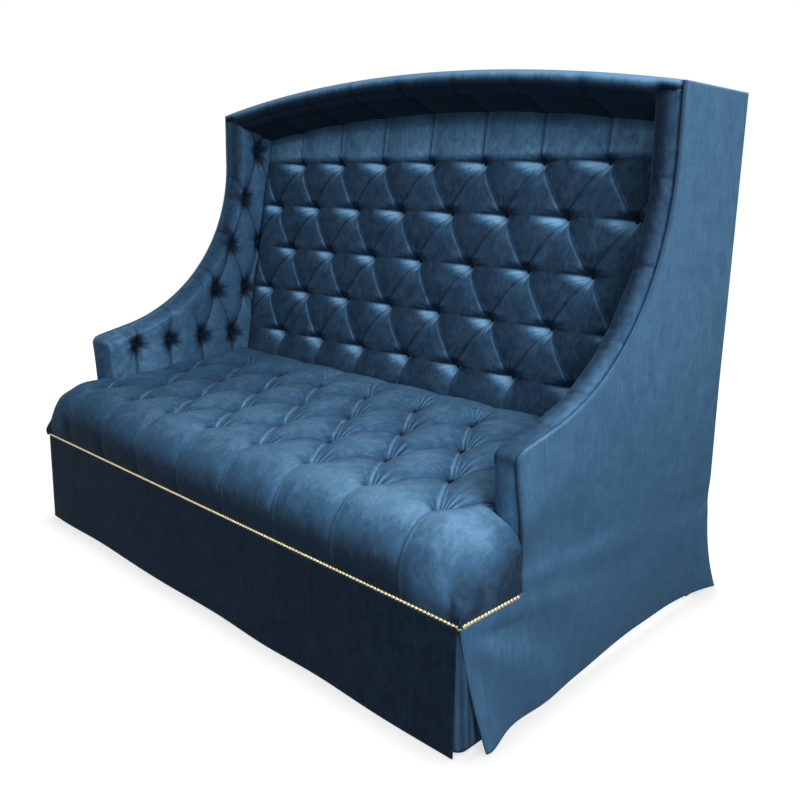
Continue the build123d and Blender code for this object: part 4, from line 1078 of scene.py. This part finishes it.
class SETTEE_OT_hood(bpy.types.Operator):
    """Make the hood's padded lip, its pleated ceiling and its top cover"""
    bl_idname = "settee.hood"
    bl_label = "Hood"

    def execute(self, context):
        section, length = hood_path()

        def lip(u, v):
            y, drop = along((section, length), v * length[-1])
            x = (2 * u - 1) * FLAT_X
            end = np.clip((np.abs(x) - FLAT_X + 7) / 7, 0, 1)
            share = np.sqrt(np.maximum(1 - end ** 2, 0.0001))
            short = 1 - 0.36 * smooth(np.abs(x), CROWN_X + 14, CROWN_X + 42)
            drop = (LIP_CORE_DROP + (drop - LIP_CORE_DROP) * share) * short
            return on_arch(x, LIP_CORE_Y + (y - LIP_CORE_Y) * share, drop)

        def lip_depth(u, v, points):
            pitch = sizes().tuft_pitch
            near = bell(to_line(points[:, 0] / pitch) * pitch, 0.012)
            # Painted light on the lip's top, fading to painted shade underneath, with painted shade at each pleat.
            tone = 0.55 - 0.88 * smooth(v, 0.06, 0.36) - 0.15 * near
            return 0.004 * near * smooth(v, 0.2, 0.6), tone

        def lip_core(point):
            drop = math.hypot(point.x, point.z - ARCH_Z * MM) - ARCH_R * MM
            return point + Vector((0, 0.012, 0.009 * float(smooth(-drop, 0.012, 0.04))))
        padded_piece("hood_padded_lip", lip, lip_depth, 2 * FLAT_X * MM, 0.13, -1, (lip_core,),
                     ["hood_lip"], layer=True)

        def ceiling(u, v):
            x = (2 * u - 1) * (FLAT_X - 30)
            y = LIP_END_Y + (CEILING_END_Y - LIP_END_Y) * v
            drop = LIP_DROP + (CEILING_DROP - LIP_DROP) * v
            return on_arch(x, y, drop)

        def ceiling_depth(u, v, points):
            depth = channels(points[:, 0] / sizes().tuft_pitch, sizes().tuft_pitch, 0.007, 0.002)
            # The ceiling is painted in the hood's shade, a little lighter towards the rear.
            return depth, 0.1 * smooth(v, 0.4, 1.0) - 0.4

        def up(point):
            return Vector((point.x, point.y, point.z + 0.014))
        padded_piece("hood_pleated_ceiling", ceiling, ceiling_depth, 2 * FLAT_X * MM, 0.14, -1, (up,),
                     ["hood_ceiling"], layer=True)

        def top(u, v):
            return on_arch((2 * u - 1) * FLAT_X, WING_Y + 13 + (REAR_Y - WING_Y - 13) * v, 0)
        hung_cloth("hood_top_cloth", top, 150, 34, ["hood_top_cover"], COVER_T,
                   -1)
        return {"FINISHED"}


def hood_path():
    """Section of the hood's lip as points and lengths."""
    front = arc_through((WING_Y, 0), (WING_Y - LIP_BULGE, LIP_DROP / 3), (WING_Y + LIP_BULGE, LIP_DROP * 0.75))
    under_y = (WING_Y + LIP_BULGE + LIP_END_Y) / 2
    under = arc_through((WING_Y + LIP_BULGE, LIP_DROP * 0.75), (under_y, LIP_DROP), (LIP_END_Y, LIP_DROP))
    return path_points(front, under)


def hung_cloth(name, shape, columns, rows, nodes, thickness, side=1, finish="velvet_outside",
               light_shade=()):
    """One sheet of velvet: a grid shaped by a formula, with its thickness outside that surface, inside it or half
    each way, as side says. Its flat size is its longer spans with turnings, widened until its area fits."""
    mesh = grid_mesh(name, columns, rows, shape)
    for tone in light_shade:
        paint_light_shade(mesh, tone)
    area = sum(face.area for face in mesh.polygons)
    spans = np.sort(np.ptp([vertex.co for vertex in mesh.vertices], axis=0))
    width, length = (float(span) * TURNINGS for span in spans[1:])
    while width * length * 0.999 < area:
        width, length = width * 1.02, length * 1.02
    with opened(mesh) as bm:
        bmesh.ops.recalc_face_normals(bm, faces=bm.faces)
    piece = show(mesh, finish)
    wall = piece.modifiers.new("wall", "SOLIDIFY")
    wall.thickness = thickness * MM
    wall.offset = side
    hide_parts(*nodes)


def skirt_share(z):
    """Share of the skirt's flare at a height."""
    return np.clip((SKIRT_Z - z) / (SKIRT_Z - HEM_Z), 0, 1) ** 2


def side_cover(side, light_shade):
    """A formula for one outside cover: the wing's outline above, the flared skirt below, in loose folds."""
    def shape(u, v):
        corner = np.clip((u - 0.74) / 0.26, 0, 1) ** 2
        drawn = smooth(u, 0.2, 0.62)
        z = HEM_Z + (CORNER_Z - HEM_Z) * v
        z = z + HEM_LIFT * drawn * (1 - corner) * np.clip(1 - z / 280, 0, 1)
        share = skirt_share(z)
        low = z < SKIRT_Z
        front = np.where(low, TACK_Y + PLEAT_OPEN * (SKIRT_Z - z) / (SKIRT_Z - HEM_Z), wing_edge_y(z))
        front = np.where((z >= INSERT_HIGH_Z) & low, TACK_Y, front)
        y = front + (REAR_Y + REAR_FLARE * share - front) * u
        flare = share * (9 + 27 * bell(u, 0.085) - 12 * drawn + 25 * corner)
        r, angle = np.hypot(y - TACK_Y, SKIRT_Z - z), np.arctan2(SKIRT_Z - z, y - TACK_Y)
        fold = 4.2 * np.sin(9 * angle + 1.5 * np.sin(y / 130)) * smooth(r, 40, 150) * (1 - smooth(r, 300, 640))
        upper = smooth(z, 30, 280) * (1 - smooth(z, 420, 840)) * smooth(y, 230, 420)
        fold += 3 * np.sin(y / 150 + z / 280) * upper
        fold *= smooth(np.abs(z - SKIRT_Z), 6, 60)
        edge = y - front
        # Painted shade: a dark line along the seam at the cover's front edge, darker on the flared skirt, lighter
        # higher up where light falls, and the left cover a little darker.
        seam_shade = (0.3 + 0.2 * side) * bell(edge, 7.0) * (1 - low)
        light_shade[:] = [(side - 1) * 0.05 - seam_shade - 0.12 * share + 0.12 * smooth(z, 250, 900)]
        return placed(side * (HALF + flare + fold - 3.5 * np.exp(-(edge / 4.0))), y, z)
    return shape


def pleat_insert(side, way, start, flare, light_shade):
    """A formula for the cloth behind an open corner pleat, bent round the corner, to the rear or the front."""
    def shape(u, v):
        # Painted shade: the cloth in the pleat's opening is darker, with painted light and shade across its folds.
        light_shade[:] = [0.14 * np.sin(60 * u + 2 * v) - 0.3]
        at = u * INSERT_LENGTH - INSERT_STRAIGHT
        angle = np.clip(at / INSERT_BEND, 0, math.pi / 2)
        x = FLAT_X - GAP + 8 * (1 - v) - INSERT_BEND * (1 - np.sin(angle)) + np.minimum(at, 0)
        past = INSERT_BEND * (1 - np.cos(angle)) + np.maximum(at - INSERT_BEND * math.pi / 2, 0)
        z = INSERT_LOW_Z + (INSERT_HIGH_Z - INSERT_LOW_Z) * v
        return placed(side * x, start + flare * (1 - v) + way * past, z)
    return shape


class SETTEE_OT_covers(bpy.types.Operator):
    """Make the outside covers and the skirt, with the cloth behind the open corner pleats"""
    bl_idname = "settee.covers"
    bl_label = "Outside covers and skirt"

    def execute(self, context):
        for name, side in SIDES:
            light_shade = []
            hung_cloth("side_cloth_" + name, side_cover(side, light_shade), 90, 280, ["side_cover_" + name], COVER_T,
                       0, light_shade=light_shade)
            for end, way, start, flare, held_by in INSERTS:
                light_shade = []
                hung_cloth(end + "_insert_cloth_" + name, pleat_insert(side, way, start, flare, light_shade), 40, 40,
                           [end + "_insert_" + name], INSERT_T,
                           light_shade=light_shade if way > 0 else ())

        def skirt(u, v):
            z = HEM_Z + (SKIRT_Z - HEM_Z) * v
            fold = np.sin(u * 7 * math.pi + 0.7 * np.sin(9 * u)) * 3 * skirt_share(z)
            return placed((2 * u - 1) * FLAT_X, -fold, z)
        hung_cloth("front_skirt_cloth", skirt, 240, 44, ["front_skirt"], 4.0,
                   finish="velvet_skirt")

        def outside_back(u, v):
            x = (2 * u - 1) * FLAT_X
            z = HEM_Z + (arch_top(x, COVER_T + GAP) - HEM_Z) * v
            share = skirt_share(z)
            fold = np.sin(u * 7 * math.pi) * 3 * share
            return placed(x * (1 - share * 30 / FLAT_X), REAR_Y + REAR_FLARE * share + fold, z)
        hung_cloth("outside_back_cloth", outside_back, 130, 120, ["back_cover"], COVER_T,
                   -1)
        return {"FINISHED"}


def domed(name, places, radius, height, sides, rings):
    """A mesh of low domes, each half a ball, cut flat and pressed down, stood on its foot by a matrix."""
    mesh = bpy.data.meshes.new(name)
    with opened(mesh) as bm:
        for matrix in places:
            made = bmesh.ops.create_uvsphere(bm, u_segments=sides, v_segments=2 * rings, radius=1.0)["verts"]
            parts = list(made)
            parts += list({e for v in made for e in v.link_edges}) + list({f for v in made for f in v.link_faces})
            cut = bmesh.ops.bisect_plane(bm, geom=parts, plane_co=(0, 0, 0), plane_no=(0, 0, -1), clear_outer=True)
            verts = list({part for part in cut["geom"] if isinstance(part, bmesh.types.BMVert)})
            rim = [part for part in cut["geom_cut"] if isinstance(part, bmesh.types.BMEdge)]
            bmesh.ops.contextual_create(bm, geom=rim)
            bmesh.ops.scale(bm, vec=(radius, radius, height), verts=verts)
            bmesh.ops.transform(bm, matrix=matrix, verts=verts)
    return mesh


def upright_on(normal):
    """Rotation that stands Z on a normal."""
    return Vector(normal).normalized().to_track_quat("Z", "Y").to_matrix().to_4x4()


class SETTEE_OT_nails(bpy.types.Operator):
    """Drive the row of brass nailheads along the seat front and its two short returns"""
    bl_idname = "settee.nails"
    bl_label = "Nailheads"

    def execute(self, context):
        pitch = NAIL_PITCH * MM
        rows = {"front": [(((k - (NAILS_FRONT - 1) / 2) * pitch, OPENING_SHIFT, NAIL_Z * MM), (0, -1, 0))
                          for k in range(NAILS_FRONT)]}
        for name, side in SIDES:
            rows[name] = [((side * HALF * MM, OPENING_SHIFT + NAIL_START * MM + k * pitch, NAIL_Z * MM),
                           (side, 0, 0)) for k in range(NAILS_SIDE)]
        for name, places in rows.items():
            places = [Matrix.Translation(place) @ upright_on(normal)
                      @ Matrix.Rotation(0.05 * math.sin(number * 2.4), 4, "X")
                      for number, (place, normal) in enumerate(places)]
            piece = show(domed("nailheads_" + name, places, sizes().nail_radius * 1.01, 0.0036, 10, 3),
                         "brass_plate")
            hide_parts("nails_" + name)
        return {"FINISHED"}


class SETTEE_OT_buttons(bpy.types.Operator):
    """Sew in the covered buttons of seat, back and wings"""
    bl_idname = "settee.buttons"
    bl_label = "Covered buttons"

    def execute(self, context):
        def rows(counts, normal, raised, place):
            return [(Vector(placed((k - (count - 1) / 2) * sizes().tuft_pitch / MM, *place(row)))
                     + normal * raised, normal) for row, count in enumerate(counts) for k in range(count)]
        seat = rows((8, 7, 8, 7), Vector((0, -math.sin(SLOPE), math.cos(SLOPE))), -0.040,
                    lambda row: (ROW_Y + row * ROW_STEP, crown_at(ROW_Y + row * ROW_STEP)))
        back = rows((7, 8, 7, 8, 7), Vector((0, -math.cos(RAKE), math.sin(RAKE))), 0.004,
                    lambda row: (BACK_Y + row * BACK_STEP * math.sin(RAKE), BACK_Z + row * BACK_STEP * math.cos(RAKE)))
        right = [(Vector(placed(CROWN_X, WING_Y0 + (k + row / 2) * WING_PITCH, WING_Z0 + row * WING_STEP))
                  + Vector((0.027, 0, 0)), Vector((-1, 0, 0)))
                 for row, (first, last) in enumerate(WING_ROWS) for k in range(first, last + 1)]
        mirror = Vector((-1, 1, 1))
        left = [(point * mirror, normal * mirror) for point, normal in right]
        for name, group in (("seat", seat), ("back", back), ("wing_right", right), ("wing_left", left)):
            places = [Matrix.Translation(point) @ upright_on(normal) for point, normal in group]
            mesh = domed("covered_buttons_" + name, places, sizes().button_radius, 0.0065, 16, 5)
            # The buttons are painted dark, in the shade of their hollows.
            paint_light_shade(mesh, np.full(len(mesh.vertices), -0.9))
            piece = show(mesh, "velvet_tufted")
            part, _, end = name.partition("_")
            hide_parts(part + "_buttons" + (end and "_" + end))
        return {"FINISHED"}


# Lamps: place, aim, width, height and watts. The rear one only lights the side that the photo hides
SOFTBOXES = (
    ("key_softbox", (3.6, -1.6, 3.0), (0, 0.1, 0.8), 1.6, 1.6, 145),
    ("front_softbox", (2.4, -3.4, 1.7), (0, 0.1, 1.0), 2.2, 2.2, 48),
    ("fill_softbox", (0.4, -0.9, 4.2), (0, 0, 0.6), 2.4, 2.0, 14),
    ("rear_softbox", (-2.4, 3.8, 2.2), (0, 0.4, 0.7), 2.2, 2.2, 120),
)


def add_softbox(name, place, aim, width, height, watts):
    """A large soft lamp that looks at a point."""
    lamp = bpy.data.lights.new(name, "AREA")
    lamp.shape = "RECTANGLE"
    lamp.size, lamp.size_y, lamp.energy = width, height, watts
    holder = bpy.data.objects.new(name, lamp)
    holder.location = place
    holder.rotation_euler = (Vector(aim) - Vector(place)).to_track_quat("-Z", "Y").to_euler()
    bpy.context.scene.collection.objects.link(holder)


class SETTEE_OT_stage(bpy.types.Operator):
    """Set up the floor, the lamps, the world and the camera"""
    bl_idname = "settee.stage"
    bl_label = "Stage"

    def execute(self, context):
        half = 30
        mesh = grid_mesh("studio_floor", 1, 1,
                         lambda u, v: np.stack([2 * half * u - half, 2 * half * v - half, 0 * u], axis=-1))
        floor = bpy.data.objects.new("studio_floor", mesh)
        context.scene.collection.objects.link(floor)
        material = bpy.data.materials.new("matt_white_paper")
        material.use_nodes = True
        tree = material.node_tree
        shader = tree.nodes["Principled BSDF"]
        shader.inputs["Base Color"].default_value = (0.14, 0.14, 0.14, 1)
        shader.inputs["Roughness"].default_value = 0.9
        shader.inputs["Specular IOR Level"].default_value = 0.0
        seen = seen_rays(tree)
        reach = add_node(tree, "VectorMath", {"operation": "LENGTH"}, i0=add_node(tree, "TexCoord").outputs["Object"])
        # White that falls off a little near the settee, and a soft shade where it touches the floor
        level = add_node(tree, "MapRange", {"From Min": 1.2, "From Max": 2.6, "To Min": 0.96, "To Max": 1.0},
                         Value=reach.outputs["Value"])
        near = add_node(tree, "AmbientOcclusion", {"samples": 12, "Distance": 0.09})
        contact = add_node(tree, "MapRange", {"From Min": 0.45, "From Max": 0.98, "To Min": 0.7, "To Max": 1.0},
                           Value=near.outputs["AO"])
        glow = add_node(tree, "Math", {"operation": "MULTIPLY"}, i0=seen, i1=level.outputs["Result"])
        glow = add_node(tree, "Math", {"operation": "MULTIPLY"}, i0=glow.outputs["Value"],
                        i1=contact.outputs["Result"])
        tree.links.new(glow.outputs["Value"], shader.inputs["Emission Strength"])
        shader.inputs["Emission Color"].default_value = (1, 1, 1, 1)
        mesh.materials.append(material)
        world = bpy.data.worlds.new("studio")
        context.scene.world = world
        world.use_nodes = True
        tree = world.node_tree
        background = tree.nodes["Background"]
        background.inputs["Color"].default_value = (1, 1, 1, 1)
        level = add_node(tree, "MapRange", {"To Min": 0.04, "To Max": 1.0}, Value=seen_rays(tree))
        tree.links.new(level.outputs["Result"], background.inputs["Strength"])
        for softbox in SOFTBOXES:
            add_softbox(*softbox)
        camera = bpy.data.objects.new("camera", bpy.data.cameras.new("camera"))
        context.scene.collection.objects.link(camera)
        camera.data.lens = 38.49
        camera.data.sensor_width = 36.0
        camera.data.shift_x, camera.data.shift_y = 0.0283, -0.0375
        camera.location = (1.88601, -1.79798, 1.14824)
        yaw, pitch, roll = math.radians(44.877), math.radians(12.068), math.radians(0.8776)
        turn = Matrix.Rotation(yaw, 4, "Z") @ Matrix.Rotation(math.pi / 2 - pitch, 4, "X")
        camera.rotation_euler = (turn @ Matrix.Rotation(roll, 4, "Z")).to_euler()
        context.scene.camera = camera
        context.scene.view_settings.view_transform = "Standard"
        return {"FINISHED"}


def seen_rays(tree):
    """One for rays that show the background itself: straight, mirrored or let through."""
    path = add_node(tree, "LightPath").outputs
    glossy = add_node(tree, "Math", {"operation": "MAXIMUM"}, i0=path["Is Camera Ray"], i1=path["Is Glossy Ray"])
    both = add_node(tree, "Math", {"operation": "MAXIMUM"}, i0=glossy.outputs["Value"],
                    i1=path["Is Transmission Ray"])
    return both.outputs["Value"]


class SETTEE_PT_panel(bpy.types.Panel):
    """Lists the settee's pieces in the 3D view's sidebar"""
    bl_label = "Settee"
    bl_idname = "SETTEE_PT_panel"
    bl_space_type = "VIEW_3D"
    bl_region_type = "UI"
    bl_category = "Settee"

    def draw(self, context):
        for operator in OPERATORS:
            self.layout.operator(operator.bl_idname)
        for group in (context.scene.settee_sizes, context.scene.settee_colours):
            for key in group.__annotations__:
                self.layout.prop(group, key)


OPERATORS = (SETTEE_OT_finishes, SETTEE_OT_stage, SETTEE_OT_seat, SETTEE_OT_back, SETTEE_OT_wings,
             SETTEE_OT_hood, SETTEE_OT_covers, SETTEE_OT_nails, SETTEE_OT_buttons)
CLASSES = (TuftingSizes, FinishColours, *OPERATORS, SETTEE_PT_panel)


def register():
    """Register every class and hang the settings on the scene."""
    for cls in CLASSES:
        bpy.utils.register_class(cls)
    bpy.types.Scene.settee_sizes = PointerProperty(type=TuftingSizes)
    bpy.types.Scene.settee_colours = PointerProperty(type=FinishColours)


def unregister():
    """Take the settings and the classes away again."""
    del bpy.types.Scene.settee_sizes
    del bpy.types.Scene.settee_colours
    for cls in reversed(CLASSES):
        bpy.utils.unregister_class(cls)


def main():
    """Make every piece in turn."""
    register()
    for operator in OPERATORS:
        group, name = operator.bl_idname.split(".")
        getattr(getattr(bpy.ops, group), name)()
    bpy.context.view_layer.update()


if __name__ == "__main__":
    main()
